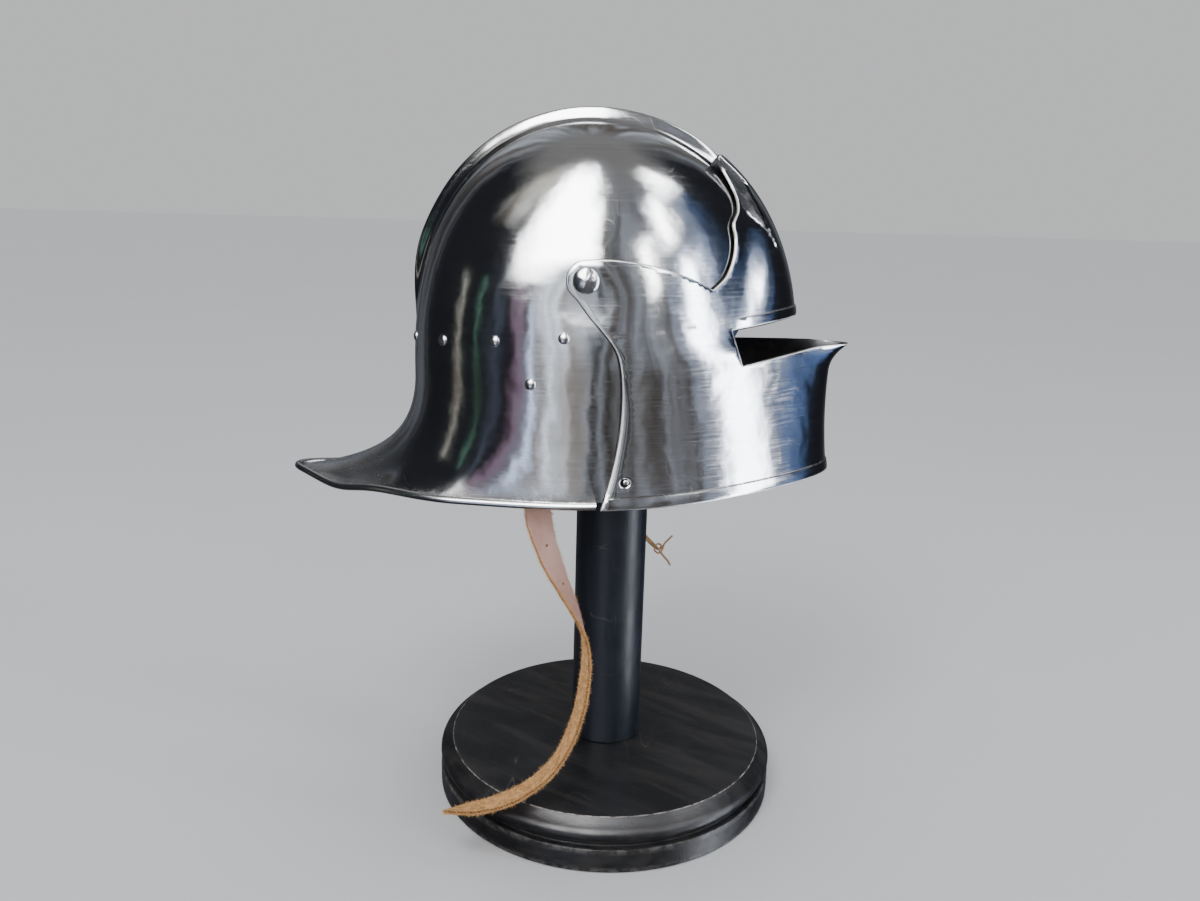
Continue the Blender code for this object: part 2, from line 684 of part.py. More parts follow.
def visor_plate(spacing, holes, hole_sides):
    """Left half of the visor: points, then faces, of both skins and the edges between."""
    scale = np.array((FLAT_SCALE, 1.0))
    loop = visor_outline(spacing) * scale
    loops = [loop]
    for centre, radius in holes:
        loops.append(round_places(centre, radius, hole_sides) * scale)
    guides = []
    for lift in (HEM_H - 0.0003, HEM_H + 0.0001):
        line = level_edge(rim_height, REAR_EDGE[-1][0] + 0.0045, spacing, lift)[:-1]
        guides.append(line * scale)
    for lift in (BAND_H - 0.0003, BAND_H + 0.0001):
        line = level_edge(brow_height, SIGHT_REAR_HIGH[0] + 0.001, spacing, lift)[:-1]
        guides.append(line * scale)
    points = []
    edges = []
    for ring in loops:
        first = len(points)
        points.extend(ring)
        edges.extend((first + i, first + (i + 1) % len(ring)) for i in range(len(ring)))
    for guide in guides:
        first = len(points)
        points.extend(guide)
        edges.extend((first + i, first + i + 1) for i in range(len(guide) - 1))
    lines = [(np.array(points[a]), np.array(points[b])) for a, b in edges]
    low = loop.min(axis=0)
    high = loop.max(axis=0)
    rows = []
    row_step = spacing * math.sqrt(0.75)
    for index, z in enumerate(np.arange(low[1], high[1], row_step)):
        offset = 0.5 * spacing * (index % 2)
        for s in np.arange(low[0] + offset, high[0], spacing):
            rows.append((s, z))
    field = np.array(rows)
    keep = inside(loop, field)
    for hole in loops[1:]:
        keep &= ~inside(hole, field)
    field = field[keep]
    field = field[clearance(lines, field) > 0.55 * spacing]
    points.extend(field)
    flat = [Vector((float(s), float(z))) for s, z in points]
    result = delaunay_2d_cdt(flat, edges, [], 0, 1e-7)
    verts = np.array([tuple(v) for v in result[0]])
    triangles = np.array([tuple(face) for face in result[2]])
    middle = verts[triangles].mean(axis=1)
    keep = inside(loop, middle)
    for hole in loops[1:]:
        keep &= ~inside(hole, middle)
    triangles = triangles[keep]
    turn = verts[:, 0] / FLAT_SCALE
    z = verts[:, 1]
    base = visor_point(turn, z)
    normal = visor_normal(turn, z)
    outer = base + normal * proud(turn, z)[:, None]
    inner = base - normal * VISOR_WALL
    median = turn > 0.5 * math.pi - 1e-6
    outer[median, 1] = 0.0
    inner[median, 1] = 0.0
    inner[:, 1] = np.maximum(inner[:, 1], 0.0)
    count = len(verts)
    faces = [tuple(t) for t in triangles]
    faces += [tuple(t[::-1] + count) for t in triangles]
    edge_use = {}
    for a, b, c in triangles:
        for pair in ((a, b), (b, c), (c, a)):
            edge_use[pair] = edge_use.get(pair, 0) + 1
    for a, b in edge_use:
        if (b, a) in edge_use or (median[a] and median[b]):
            continue
        faces.append((b, a, a + count, b + count))
    return np.vstack((outer, inner)), faces


def visor_mesh(spacing, hole_sides):
    """The whole visor plate, with the catch hole on the right side only."""
    pivot = ((PIVOT_X, PIVOT_Z), PIVOT_HOLE_R)
    catch = (CATCH_AT, CATCH_HOLE_R)
    body = bmesh.new()
    for side, holes in ((1.0, (pivot,)), (-1.0, (pivot, catch))):
        points, faces = visor_plate(spacing, holes, hole_sides)
        used = sorted({index for face in faces for index in face})
        verts = {i: body.verts.new((points[i][0], side * points[i][1], points[i][2]))
                 for i in used}
        for face in faces:
            corners = face if side > 0 else face[::-1]
            body.faces.new([verts[index] for index in corners])
    bmesh.ops.remove_doubles(body, verts=body.verts, dist=2e-6)
    bmesh.ops.recalc_face_normals(body, faces=body.faces)
    mesh = bpy.data.meshes.new("visor")
    body.to_mesh(mesh)
    body.free()
    return mesh


def material(name, colour, roughness, metallic):
    """A plain surface finish."""
    finish = bpy.data.materials.new(name)
    finish.use_nodes = True
    shader = finish.node_tree.nodes["Principled BSDF"]
    shader.inputs["Base Color"].default_value = (*colour, 1.0)
    shader.inputs["Roughness"].default_value = roughness
    shader.inputs["Metallic"].default_value = metallic
    finish.diffuse_color = (*colour, 1.0)
    return finish


def add(name, mesh, finish, smooth_angle=30.0):
    """Put a mesh in the scene as one named piece."""
    piece = bpy.data.objects.new(name, mesh)
    bpy.context.scene.collection.objects.link(piece)
    mesh.materials.append(finish)
    mesh.shade_smooth()
    mesh.set_sharp_from_angle(angle=math.radians(smooth_angle))
    return piece


def turned(name, profile, sides):
    """Solid of revolution about Z from (radius, height) rows, top to bottom."""
    body = bmesh.new()
    rings = []
    for radius, height in profile:
        if radius < 1e-9:
            rings.append([body.verts.new((0.0, 0.0, height))])
            continue
        ring = []
        for index in range(sides):
            turn = 2.0 * math.pi * index / sides
            ring.append(body.verts.new((radius * math.cos(turn), radius * math.sin(turn), height)))
        rings.append(ring)
    for upper, lower in zip(rings, rings[1:]):
        for index in range(sides):
            after = (index + 1) % sides
            if len(upper) == 1:
                body.faces.new((upper[0], lower[index], lower[after]))
            elif len(lower) == 1:
                body.faces.new((lower[0], upper[after], upper[index]))
            else:
                body.faces.new((upper[index], lower[index], lower[after], upper[after]))
    for ring, up in ((rings[0], True), (rings[-1], False)):
        if len(ring) > 1:
            body.faces.new(ring if up else ring[::-1])
    bmesh.ops.recalc_face_normals(body, faces=body.faces)
    mesh = bpy.data.meshes.new(name)
    body.to_mesh(mesh)
    body.free()
    return mesh


def head_profile(radius, height, rows):
    """Low dome from its top to its flat underside."""
    profile = []
    for index in range(rows + 1):
        turn = 0.5 * math.pi * index / rows
        profile.append((radius * math.sin(turn), height * math.cos(turn)))
    return profile


def set_on(piece, point, normal):
    """Stand a piece made along Z on a point, along a normal."""
    turn = Vector((0.0, 0.0, 1.0)).rotation_difference(normal)
    piece.matrix_world = Matrix.Translation(point) @ turn.to_matrix().to_4x4()


def ribbon(name, rows, width, thickness, steps):
    """Flat strap along a smooth curve through rows, with a turn at each row."""
    curve = smooth_through(rows, steps)
    centre = curve[:, :3]
    turns = np.radians(curve[:, 3])
    along = np.gradient(centre, axis=0)
    along /= np.linalg.norm(along, axis=1, keepdims=True)
    corners = ((-0.5, -0.5), (0.5, -0.5), (0.5, 0.5), (-0.5, 0.5))
    points = []
    for place, way, turn in zip(centre, along, turns):
        flat = np.cross(way, (0.0, 1.0, 0.0))
        flat /= np.linalg.norm(flat)
        face = np.cross(flat, way)
        across = math.cos(turn) * flat + math.sin(turn) * face
        out = -math.sin(turn) * flat + math.cos(turn) * face
        for a, b in corners:
            points.append(place + a * width * across + b * thickness * out)
    rings = len(centre)
    faces = []
    for ring in range(rings - 1):
        for corner in range(4):
            after = (corner + 1) % 4
            first = 4 * ring
            faces.append((first + corner, first + after, first + 4 + after, first + 4 + corner))
    faces.append((3, 2, 1, 0))
    faces.append(tuple(4 * (rings - 1) + corner for corner in range(4)))
    body = bmesh.new()
    verts = [body.verts.new(point) for point in points]
    for face in faces:
        body.faces.new([verts[index] for index in face])
    bmesh.ops.recalc_face_normals(body, faces=body.faces)
    mesh = bpy.data.meshes.new(name)
    body.to_mesh(mesh)
    body.free()
    return mesh


def ribbon_place(rows, place):
    """Point on a strap's centre line and its flat face's direction, at a row number."""
    curve = smooth_through(rows, 100)
    at = curve[int(round(100 * place))]
    way = curve[int(round(100 * place)) + 1, :3] - curve[int(round(100 * place)) - 1, :3]
    way /= np.linalg.norm(way)
    flat = np.cross(way, (0.0, 1.0, 0.0))
    flat /= np.linalg.norm(flat)
    turn = math.radians(at[3])
    out = -math.sin(turn) * flat + math.cos(turn) * np.cross(flat, way)
    return Vector(at[:3]), Vector(out)


def bore(piece, name, point, way, radius, length, sides=12):
    """Cut a round hole through a piece along a direction."""
    cutter = bpy.data.objects.new(name, turned(name, ((radius, 0.5), (radius, -0.5)), sides))
    cutter.data.transform(Matrix.Diagonal((1.0, 1.0, length, 1.0)))
    bpy.context.scene.collection.objects.link(cutter)
    set_on(cutter, point, way)
    cutter.hide_render = True
    cutter.display_type = "WIRE"
    cut = piece.modifiers.new(name, "BOOLEAN")
    cut.operation = "DIFFERENCE"
    cut.solver = "EXACT"
    cut.object = cutter


STEEL = (0.62, 0.63, 0.65)
LEATHER = (0.74, 0.52, 0.36)
BLACK_PAINT = (0.020, 0.021, 0.024)
SIDES = (("right", -1.0), ("left", 1.0))


def build_skull(steel):
    """Skull bowl with its comb, tail and rolled rim, bored for its fastenings."""
    grid = skull_grid(SKULL_RIBS_BACK, SKULL_RIBS_FRONT, SKULL_COLUMNS, ROLL_STEPS)
    rows, columns = grid.shape[:2]
    points = grid.reshape(-1, 3)
    skull = add("skull", mesh_from_halves("skull", points, grid_faces(rows, columns)), steel)
    for label, side in SIDES:
        pivot = skull_at(PIVOT_X, PIVOT_Z, side)[0]
        bore(skull, "pivot_bore_" + label, pivot, Vector((0.0, side, 0.0)), PIVOT_HOLE_R, 0.02)
        point, normal = skull_at(*STRAP_RIVET, side)
        bore(skull, "strap_bore_" + label, point, normal, RIVET_HOLE_R, 0.02)
    point, normal = skull_at(*CATCH_AT, -1.0)
    bore(skull, "catch_bore", point, normal, CATCH_BORE_R, 0.02)
    return skull


def build_visor(steel):
    """Visor plate, hung from the pivot line."""
    hinge = bpy.data.objects.new("visor_pivot_line", None)
    bpy.context.scene.collection.objects.link(hinge)
    hinge.location = (PIVOT_X, 0.0, PIVOT_Z)
    visor = add("visor", visor_mesh(VISOR_SPACING, 10), steel)
    visor.parent = hinge
    visor.matrix_parent_inverse = Matrix.Translation(hinge.location).inverted()
    return visor


def rivet(name, head, shank_r, grip, peen, sides, finish):
    """Domed rivet along Z with its head's flat at 0, its shank and its peened end."""
    profile = head_profile(head[0], head[1], 4)
    profile += [(shank_r, 0.0), (shank_r, -grip)]
    if peen:
        profile += [(peen[0], -grip), (peen[0], -grip - peen[1])]
    return add(name, turned(name, profile, sides), finish)


def build_pivot_rivets(steel):
    """Large rivets through visor and skull, on the pivot line."""
    for label, side in SIDES:
        way = Vector((0.0, side, 0.0))
        plate = visor_point(float(visor_turn(np.array(PIVOT_X), PIVOT_Z)), PIVOT_Z)
        wall = abs(skull_at(PIVOT_X, PIVOT_Z)[0].y) - WALL - PIVOT_PEEN_GAP
        seat = plate[1] + PIVOT_SEAT_GAP
        piece = rivet("pivot_rivet_" + label, (PIVOT_HEAD_R, PIVOT_HEAD_H), PIVOT_SHANK_R,
                      seat - wall, (PIVOT_PEEN_R, PIVOT_PEEN_H), 16, steel)
        set_on(piece, Vector((PIVOT_X, side * seat, PIVOT_Z)), way)


def plate_seat(plate, x, z, side):
    """Place on a plate's outer facet and that facet's normal, seen from the side."""
    point, normal = skull_at(x, z)
    found, seat, facet, _ = plate.ray_cast(point + normal * 0.005, -normal)
    flip = Vector((1.0, side, 1.0))
    return (seat * flip, facet * flip) if found else (point * flip, normal * flip)


def build_lining_rivets(steel, skull):
    """Row of small rivets low round the back of the skull."""
    for label, side in SIDES:
        for number, (x, z) in enumerate(LINING_RIVETS, 1):
            point, normal = plate_seat(skull, x, z, side)
            name = f"lining_rivet_{label}_{number}"
            piece = add(name, turned(name, head_profile(LINING_HEAD_R, LINING_HEAD_H, 3), 12), steel)
            set_on(piece, point + normal * LINING_SEAT_GAP, normal)


def build_straps(steel, leather):
    """Chin straps riveted inside the skull, the near one long with a free end."""
    for label, side, rows, holes, hole_r in (
            ("right", -1.0, NEAR_STRAP, NEAR_STRAP_HOLES, STRAP_HOLE_R),
            ("left", 1.0, FAR_STRAP, (FAR_STRAP_HOLE,), LACE_HOLE_R)):
        name = "chin_strap_" + label
        strap = add(name, ribbon(name, rows, STRAP_W, STRAP_T, 3), leather)
        point, normal = skull_at(*STRAP_RIVET, side)
        bore(strap, name + "_rivet_hole", point - normal * 0.004, normal, RIVET_HOLE_R, 0.01)
        for number, place in enumerate(holes, 1):
            at, out = ribbon_place(rows, place)
            bore(strap, f"{name}_hole_{number}", at, out, hole_r, 0.01, 8)
        grip = SEAT_GAP + WALL + STRAP_OFF_WALL + STRAP_T + 0.0005
        piece = rivet("strap_rivet_" + label, (LINING_HEAD_R, LINING_HEAD_H), RIVET_SHANK_R,
                      grip, (RIVET_PEEN_R, RIVET_PEEN_H), 12, steel)
        set_on(piece, point + normal * SEAT_GAP, normal)


def build_lace(leather):
    """Thin thong through the far strap, with two free ends."""
    route = smooth_through(LACE, 2)
    curve = bpy.data.curves.new("lace", "CURVE")
    curve.dimensions = "3D"
    curve.bevel_depth = LACE_R
    curve.bevel_resolution = 2
    curve.use_fill_caps = True
    line = curve.splines.new("POLY")
    line.points.add(len(route) - 1)
    for point, place in zip(line.points, route):
        point.co = (*place, 1.0)
    lace = bpy.data.objects.new("lace", curve)
    bpy.context.scene.collection.objects.link(lace)
    curve.materials.append(leather)


def build_catch(steel):
    """Sprung stud that comes through the hole low in the visor's right side."""
    point, normal = skull_at(*CATCH_AT, -1.0)
    plate = visor_point(float(visor_turn(np.array(CATCH_AT[0]), CATCH_AT[1])), CATCH_AT[1])
    cover = (Vector(plate * (1.0, -1.0, 1.0)) - point).dot(normal)
    tip = cover + CATCH_PROUD
    root = WALL + CATCH_FLANGE_GAP
    profile = [(0.0, tip), (CATCH_STUD_R - 0.0004, tip), (CATCH_STUD_R, tip - 0.0004),
               (CATCH_STUD_R, -root), (CATCH_FLANGE_R, -root),
               (CATCH_FLANGE_R, -root - CATCH_FLANGE_H)]
    stud = add("catch_stud", turned("catch_stud", profile, 12), steel)
    set_on(stud, point, normal)


def build_stand(paint):
    """Turned base and column."""
    base_profile = [(DISC_R, BASE_H)]
    for turn in np.radians(np.linspace(75.0, -75.0, 7)):
        base_profile.append((TORUS_R - TORUS_HALF_H + TORUS_HALF_H * math.cos(turn),
                             TORUS_Z + TORUS_HALF_H * math.sin(turn)))
    base_profile += [(GROOVE_R, PLINTH_H + 0.0020), (GROOVE_R, PLINTH_H),
                     (PLINTH_R, PLINTH_H), (PLINTH_R, 0.0)]
    add("stand_base", turned("stand_base", base_profile, 40), paint)
    low = BASE_H + SEAT_GAP
    post_profile = [(0.0, POST_TOP_Z)]
    for turn in np.radians(np.linspace(75.0, 0.0, 6)):
        post_profile.append((POST_R - POST_TOP_ROUND + POST_TOP_ROUND * math.cos(turn),
                             POST_TOP_Z - POST_TOP_ROUND + POST_TOP_ROUND * math.sin(turn)))
    post_profile.append((POST_R, low))
    add("stand_post", turned("stand_post", post_profile, 24), paint)


def main():
    """Build every piece."""
    for old in list(bpy.data.objects):
        bpy.data.objects.remove(old)
    steel = material("polished_steel", STEEL, 0.18, 1.0)
    leather = material("strap_leather", LEATHER, 0.75, 0.0)
    paint = material("black_paint", BLACK_PAINT, 0.40, 0.0)
    skull = build_skull(steel)
    build_visor(steel)
    build_pivot_rivets(steel)
    build_lining_rivets(steel, skull)
    build_straps(steel, leather)
    build_lace(leather)
    build_catch(steel)
    build_stand(paint)


if __name__ == "__main__":
    main()
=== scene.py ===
"""A polished steel sallet with a pivoted visor, standing on its black turned wooden stand.

Metres, +Z up, +X towards the face opening, -Y the wearer's right side.
"""
import logging
import math
from dataclasses import dataclass
from enum import Enum
from typing import Any, Iterable, Optional, Sequence

import bmesh
import bpy
import numpy as np
from bpy.types import Material, Mesh, NodeSocket, NodeTree, Object
from mathutils import Matrix, Vector
from mathutils.bvhtree import BVHTree
from mathutils.geometry import delaunay_2d_cdt


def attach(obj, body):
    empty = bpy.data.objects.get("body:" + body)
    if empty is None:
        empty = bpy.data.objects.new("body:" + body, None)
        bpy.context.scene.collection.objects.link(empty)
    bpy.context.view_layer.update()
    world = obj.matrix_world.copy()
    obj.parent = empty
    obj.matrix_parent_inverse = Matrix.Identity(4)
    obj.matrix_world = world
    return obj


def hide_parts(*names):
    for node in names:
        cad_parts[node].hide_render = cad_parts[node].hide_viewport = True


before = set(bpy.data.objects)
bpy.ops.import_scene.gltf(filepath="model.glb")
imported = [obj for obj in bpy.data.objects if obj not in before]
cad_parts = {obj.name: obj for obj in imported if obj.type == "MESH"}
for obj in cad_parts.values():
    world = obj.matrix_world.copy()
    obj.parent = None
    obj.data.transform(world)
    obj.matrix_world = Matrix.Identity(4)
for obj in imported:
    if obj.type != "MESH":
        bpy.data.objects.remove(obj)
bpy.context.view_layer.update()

LOG = logging.getLogger("sallet")
QUARTER = 0.5 * math.pi
MIRROR = np.array((1.0, -1.0, 1.0))
Array = np.ndarray
Pair = tuple[float, float]
Triple = tuple[float, float, float]
Rows = Sequence[Sequence[float]]
Faces = list[tuple[int, ...]]

# Places that two pieces share: forward and up
STRAP_RIVET = (-0.0585, 0.3505)
CATCH = (0.0065, 0.2863)
STRAP_THICKNESS = 0.0026


class Side(Enum):
    """The wearer's two sides, by the sign of the direction across."""

    RIGHT = -1.0
    LEFT = 1.0

    @property
    def label(self) -> str:
        """The side's word in the names of nodes."""
        return self.name.lower()


class Body(Enum):
    """The three bodies that move against each other."""

    STAND = "helmet_on_stand"
    VISOR = "visor"
    CATCH = "catch"


class Slot(Enum):
    """The finishes that a scene may repaint."""

    STEEL = "polished_steel"
    LEATHER = "strap_leather"
    PAINT = "black_paint"


# Curves and meshes


def smoothstep(value: Any) -> Any:
    """Rise from 0 to 1 with level ends."""
    value = np.clip(value, 0.0, 1.0)
    return value * value * (3.0 - 2.0 * value)


def ramp(value: Any, low: float, high: float) -> Any:
    """Rise from 0 at the low value to 1 at the high one."""
    return smoothstep((value - low) / (high - low))


def unit(ways: Array) -> Array:
    """Directions of length 1."""
    return ways / np.linalg.norm(ways, axis=-1, keepdims=True)


def smooth_through(rows: Rows, steps: int) -> Array:
    """Points on a smooth curve.

    Args:
        rows: the points, or points with further columns, that the curve passes through.
        steps: how many pieces each span is cut into.

    Returns:
        One row to each point of the curve.
    """
    table = np.array(rows, dtype=float)
    padded = np.vstack((2 * table[0] - table[1], table, 2 * table[-1] - table[-2]))
    points = []
    for index in range(len(table) - 1):
        before, start, end, after = padded[index:index + 4]
        for t in np.arange(steps) / steps:
            square = (2 * before - 5 * start + 4 * end - after) * t ** 2
            cube = (3 * start - before - 3 * end + after) * t ** 3
            points.append(0.5 * (2 * start + (end - before) * t + square + cube))
    points.append(table[-1])
    return np.array(points)


def run_length(points: Array) -> Array:
    """Distance along a line of points, from its first."""
    steps = np.linalg.norm(np.diff(points, axis=0), axis=1)
    return np.concatenate(([0.0], np.cumsum(steps)))


def resample(points: Array, along: Array, wanted: Array) -> Array:
    """Rows of points at wanted distances of a given run."""
    return np.stack([np.interp(wanted, along, points[:, axis]) for axis in range(points.shape[1])], axis=1)


def surface_normal(surface: Any, first: Any, second: Any, step: float = 1e-4) -> Array:
    """Unit normal of a surface with two parameters."""
    along = surface(first + step, second) - surface(first - step, second)
    across = surface(first, second + step) - surface(first, second - step)
    normal = np.cross(along, across)
    return normal / np.maximum(np.linalg.norm(normal, axis=-1, keepdims=True), 1e-12)


def grid_faces(rows: int, columns: int) -> Faces:
    """Quads of a grid of rows times columns points."""
    first = (np.arange(rows - 1)[:, None] * columns + np.arange(columns - 1)[None, :]).ravel()
    return list(zip(first, first + 1, first + columns + 1, first + columns))


def link(name: str, data: Any) -> Object:
    """A new object of a mesh, a light or a camera, in the scene."""
    piece = bpy.data.objects.new(name, data)
    bpy.context.scene.collection.objects.link(piece)
    return piece


def raw_mesh(name: str, points: Any, edges: Any = (), faces: Any = ()) -> Mesh:
    """A mesh of points, with edges and faces by the numbers of their points."""
    mesh = bpy.data.meshes.new(name)
    mesh.from_pydata([tuple(point) for point in points], list(edges), [tuple(int(i) for i in face)
        for face in faces])
    return mesh


def store_layer(mesh: Mesh, name: str, values: Any) -> None:
    """Keep a value at each point, by the name that a material reads it by."""
    layer = mesh.attributes.new(name, "FLOAT", "POINT")
    layer.data.foreach_set("value", np.array(values, dtype=np.float32))


def plain_copy(piece: Object) -> Mesh:
    """The plain mesh that a piece's modifiers make; the modifiers are then taken off."""
    view = bpy.context.evaluated_depsgraph_get()
    mesh = bpy.data.meshes.new_from_object(piece.evaluated_get(view), depsgraph=view)
    piece.modifiers.clear()
    return mesh


def finished(name: str, mesh: Mesh, finishes: Sequence[Material] = (), sharp: float = 32.0,
        merge: float = 0.0, flat: float = 0.0) -> Object:
    """Turn a mesh's faces outwards and put it into the scene as a smooth piece.

    Args:
        name: the piece's name.
        mesh: its mesh.
        finishes: the materials, by slot.
        sharp: the angle in degrees past which an edge shows as sharp.
        merge: the distance within which points are merged, or 0 for none.
        flat: the length below which edges are dissolved, or 0 for none.

    Returns:
        The piece.
    """
    body = bmesh.new()
    body.from_mesh(mesh)
    if merge:
        bmesh.ops.remove_doubles(body, verts=body.verts, dist=merge)
    if flat:
        bmesh.ops.dissolve_degenerate(body, edges=body.edges, dist=flat)
    bmesh.ops.recalc_face_normals(body, faces=body.faces)
    body.to_mesh(mesh)
    body.free()
    for finish in finishes:
        mesh.materials.append(finish)
    mesh.shade_smooth()
    mesh.set_sharp_from_angle(angle=math.radians(sharp))
    return link(name, mesh)


def make_mesh(name: str, points: Array, faces: Sequence[Sequence[int]], finishes: Sequence[Material],
        slots: Optional[Sequence[int]] = None, sharp: float = 32.0, **layers: Array) -> Object:
    """Make one closed piece.

    Args:
        name: the piece's name.
        points: the corner points.
        faces: the faces by the numbers of their points.
        finishes: the materials, by slot.
        slots: the slot of each face, or None for the first.
        sharp: the angle in degrees past which an edge shows as sharp.
        layers: values to each point, by the name that a material reads them by.

    Returns:
        The piece, its doubles merged and its faces turned outwards.
    """
    mesh = raw_mesh(name, points, (), faces)
    if slots is not None:
        mesh.polygons.foreach_set("material_index", np.array(slots, dtype=np.int32))
    for label, values in layers.items():
        store_layer(mesh, label, values)
    return finished(name, mesh, finishes, sharp, 4e-6, 1e-7)


def line_mesh(name: str, points: Array) -> Object:
    """A run of edges through points, as the path of a shape tree."""
    return link(name, raw_mesh(name, points, [(i, i + 1) for i in range(len(points) - 1)]))


def turned_parts(profile: Rows, sides: int) -> tuple[Array, Faces]:
    """Points and faces of a solid of revolution about Z.

    Args:
        profile: radius and height of each ring, top to bottom, from axis to axis.
        sides: how many sides a ring has.

    Returns:
        The points, and the faces by the numbers of their points.
    """
    turns = 2.0 * math.pi * np.arange(sides) / sides
    rings = []
    for r, z in profile:
        rings.append(np.stack((r * np.cos(turns), r * np.sin(turns), np.full(sides, z)), axis=1))
    faces = []
    for row in range(len(profile) - 1):
        for index in range(sides):
            after = (index + 1) % sides
            faces.append((row * sides + index, (row + 1) * sides + index, (row + 1) * sides + after,
                row * sides + after))
    return np.vstack(rings), faces


def stand_on(points: Array, seat: Array, way: Array) -> Array:
    """Points made along Z, turned to stand on a seat along a direction."""
    turn = Vector((0.0, 0.0, 1.0)).rotation_difference(Vector(way)).to_matrix()
    return points @ np.array(turn).T + seat


def waved(points: Array, middle: Sequence[float], depth: float, calm: Any = 1.0) -> Array:
    """Lift a plate by the slow hollows and swells that planishing leaves in it.

    Args:
        points: places on the plate.
        middle: the place that the lift points away from.
        depth: height of the largest swell in metres.
        calm: share of the swells that each place keeps.

    Returns:
        The lifted places.
    """
    rows = (
        # share, then waves to the metre along X, Y and Z, and the start of the wave
        (0.30, 60.0, 35.0, 95.0, 0.4),
        (0.24, -85.0, 70.0, 40.0, 2.1),
        (0.22, 110.0, -60.0, -70.0, 4.0),
        (0.14, 150.0, 90.0, 120.0, 1.2),
        (0.10, -60.0, 160.0, -190.0, 5.3),
    )
    lift = np.zeros(len(points))
    for share, kx, ky, kz, start in rows:
        lift += share * np.sin(points @ np.array((kx, ky, kz)) + start)
    return points + unit(points - np.array(middle)) * (depth * lift * calm)[:, None]


def dress(piece: Object, body: Body, slot: Slot, *nodes: str) -> Object:
    """Set a finished piece on its body.

    Args:
        piece: the piece, in its place.
        body: the body that it moves with.
        slot: not used.
        nodes: the CAD nodes that it stands for.

    Returns:
        The piece.
    """
    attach(piece, body.value)
    if nodes:
        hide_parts(*nodes)
    LOG.info("%s: %d faces, on %s", piece.name, len(piece.data.polygons), body.value)
    return piece


# Node trees


class Tree:
    """Lays out the nodes of a tree."""

    def __init__(self, tree: NodeTree) -> None:
        """Start on a tree."""
        self.tree = tree

    def feed(self, socket: NodeSocket, value: Any) -> None:
        """Set a socket to a value, or link it to another socket."""
        if isinstance(value, NodeSocket):
            self.tree.links.new(value, socket)
        else:
            socket.default_value = value

    def add(self, kind: str, inputs: Optional[dict[Any, Any]] = None, **settings: Any) -> Any:
        """Add a node.

        Args:
            kind: the node's type.
            inputs: values or sockets, by the name or number of the input.
            settings: the node's own properties.

        Returns:
            The node's outputs.
        """
        node = self.tree.nodes.new(kind)
        for key, value in settings.items():
            setattr(node, key, value)
        for key, value in (inputs or {}).items():
            self.feed(node.inputs[key], value)
        return node.outputs


class ShaderTree(Tree):
    """The nodes of a material, a world or an effect."""

    def sum(self, operation: str, *values: Any, clamp: bool = False) -> NodeSocket:
        """The result of a Math node."""
        return self.add("ShaderNodeMath", dict(enumerate(values)), operation=operation, use_clamp=clamp)[0]

    def plus(self, first: Any, second: Any) -> NodeSocket:
        """One value and another."""
        return self.sum("ADD", first, second)

    def minus(self, first: Any, second: Any, clamp: bool = False) -> NodeSocket:
        """One value less another."""
        return self.sum("SUBTRACT", first, second, clamp=clamp)

    def times(self, first: Any, second: Any, clamp: bool = False) -> NodeSocket:
        """One value times another."""
        return self.sum("MULTIPLY", first, second, clamp=clamp)

    def more(self, value: Any, other: Any, share: Any) -> NodeSocket:
        """A value and a share of another."""
        return self.plus(value, self.times(other, share))

    def mix(self, factor: Any, first: Any, second: Any, blend: str = "MIX") -> NodeSocket:
        """A mix of two colours."""
        colours = [(*value, 1.0) if isinstance(value, tuple) else value for value in (first, second)]
        return self.add("ShaderNodeMix", {0: factor, 6: colours[0], 7: colours[1]}, data_type="RGBA",
            blend_type=blend)[2]

    def between(self, value: Any, low: float, high: float, start: float = 0.0,
            end: float = 1.0) -> NodeSocket:
        """A value spread smoothly from one range to another."""
        return self.add("ShaderNodeMapRange", {"Value": value, "From Min": low, "From Max": high,
            "To Min": start, "To Max": end}, interpolation_type="SMOOTHSTEP")["Result"]

    def noise(self, point: Any, scale: Any, detail: float = 2.0, rough: float = 0.5,
            twist: float = 0.0) -> NodeSocket:
        """A cloudy value about a half."""
        return self.add("ShaderNodeTexNoise", {"Vector": point, "Scale": scale, "Detail": detail,
            "Roughness": rough, "Distortion": twist})[0]

    def stretch(self, point: Any, scale: Triple, turn: Triple = (0.0, 0.0, 0.0)) -> NodeSocket:
        """A point turned and stretched."""
        return self.add("ShaderNodeMapping", {"Vector": point, "Scale": scale, "Rotation": turn})[0]

    def bump(self, height: Any, depth: float, normal: Any = None) -> NodeSocket:
        """A normal bent by a height of 0 to 1 that is depth metres deep."""
        inputs = {"Height": height, "Distance": depth, "Strength": 1.0}
        if normal is not None:
            inputs["Normal"] = normal
        return self.add("ShaderNodeBump", inputs)[0]

    def layer(self, name: str) -> NodeSocket:
        """A value that the piece holds at its points."""
        return self.add("ShaderNodeAttribute", attribute_name=name)["Fac"]


class MaterialTree(ShaderTree):
    """The nodes of a new material, with the place on the piece."""

    def __init__(self, name: str) -> None:
        """Start a material of this name."""
        self.finish = bpy.data.materials.new(name)
        self.finish.use_nodes = True
        super().__init__(self.finish.node_tree)
        self.point = self.add("ShaderNodeTexCoord")["Object"]

    def surface(self, colour: Any, rough: Any, normal: Any = None, metal: float = 0.0,
            specular: float = 0.5) -> Material:
        """Give the surface its values, and return the material."""
        values = {"Base Color": colour, "Roughness": rough, "Metallic": metal,
            "Specular IOR Level": specular}
        if normal is not None:
            values["Normal"] = normal
        for key, value in values.items():
            self.feed(self.tree.nodes["Principled BSDF"].inputs[key], value)
        return self.finish


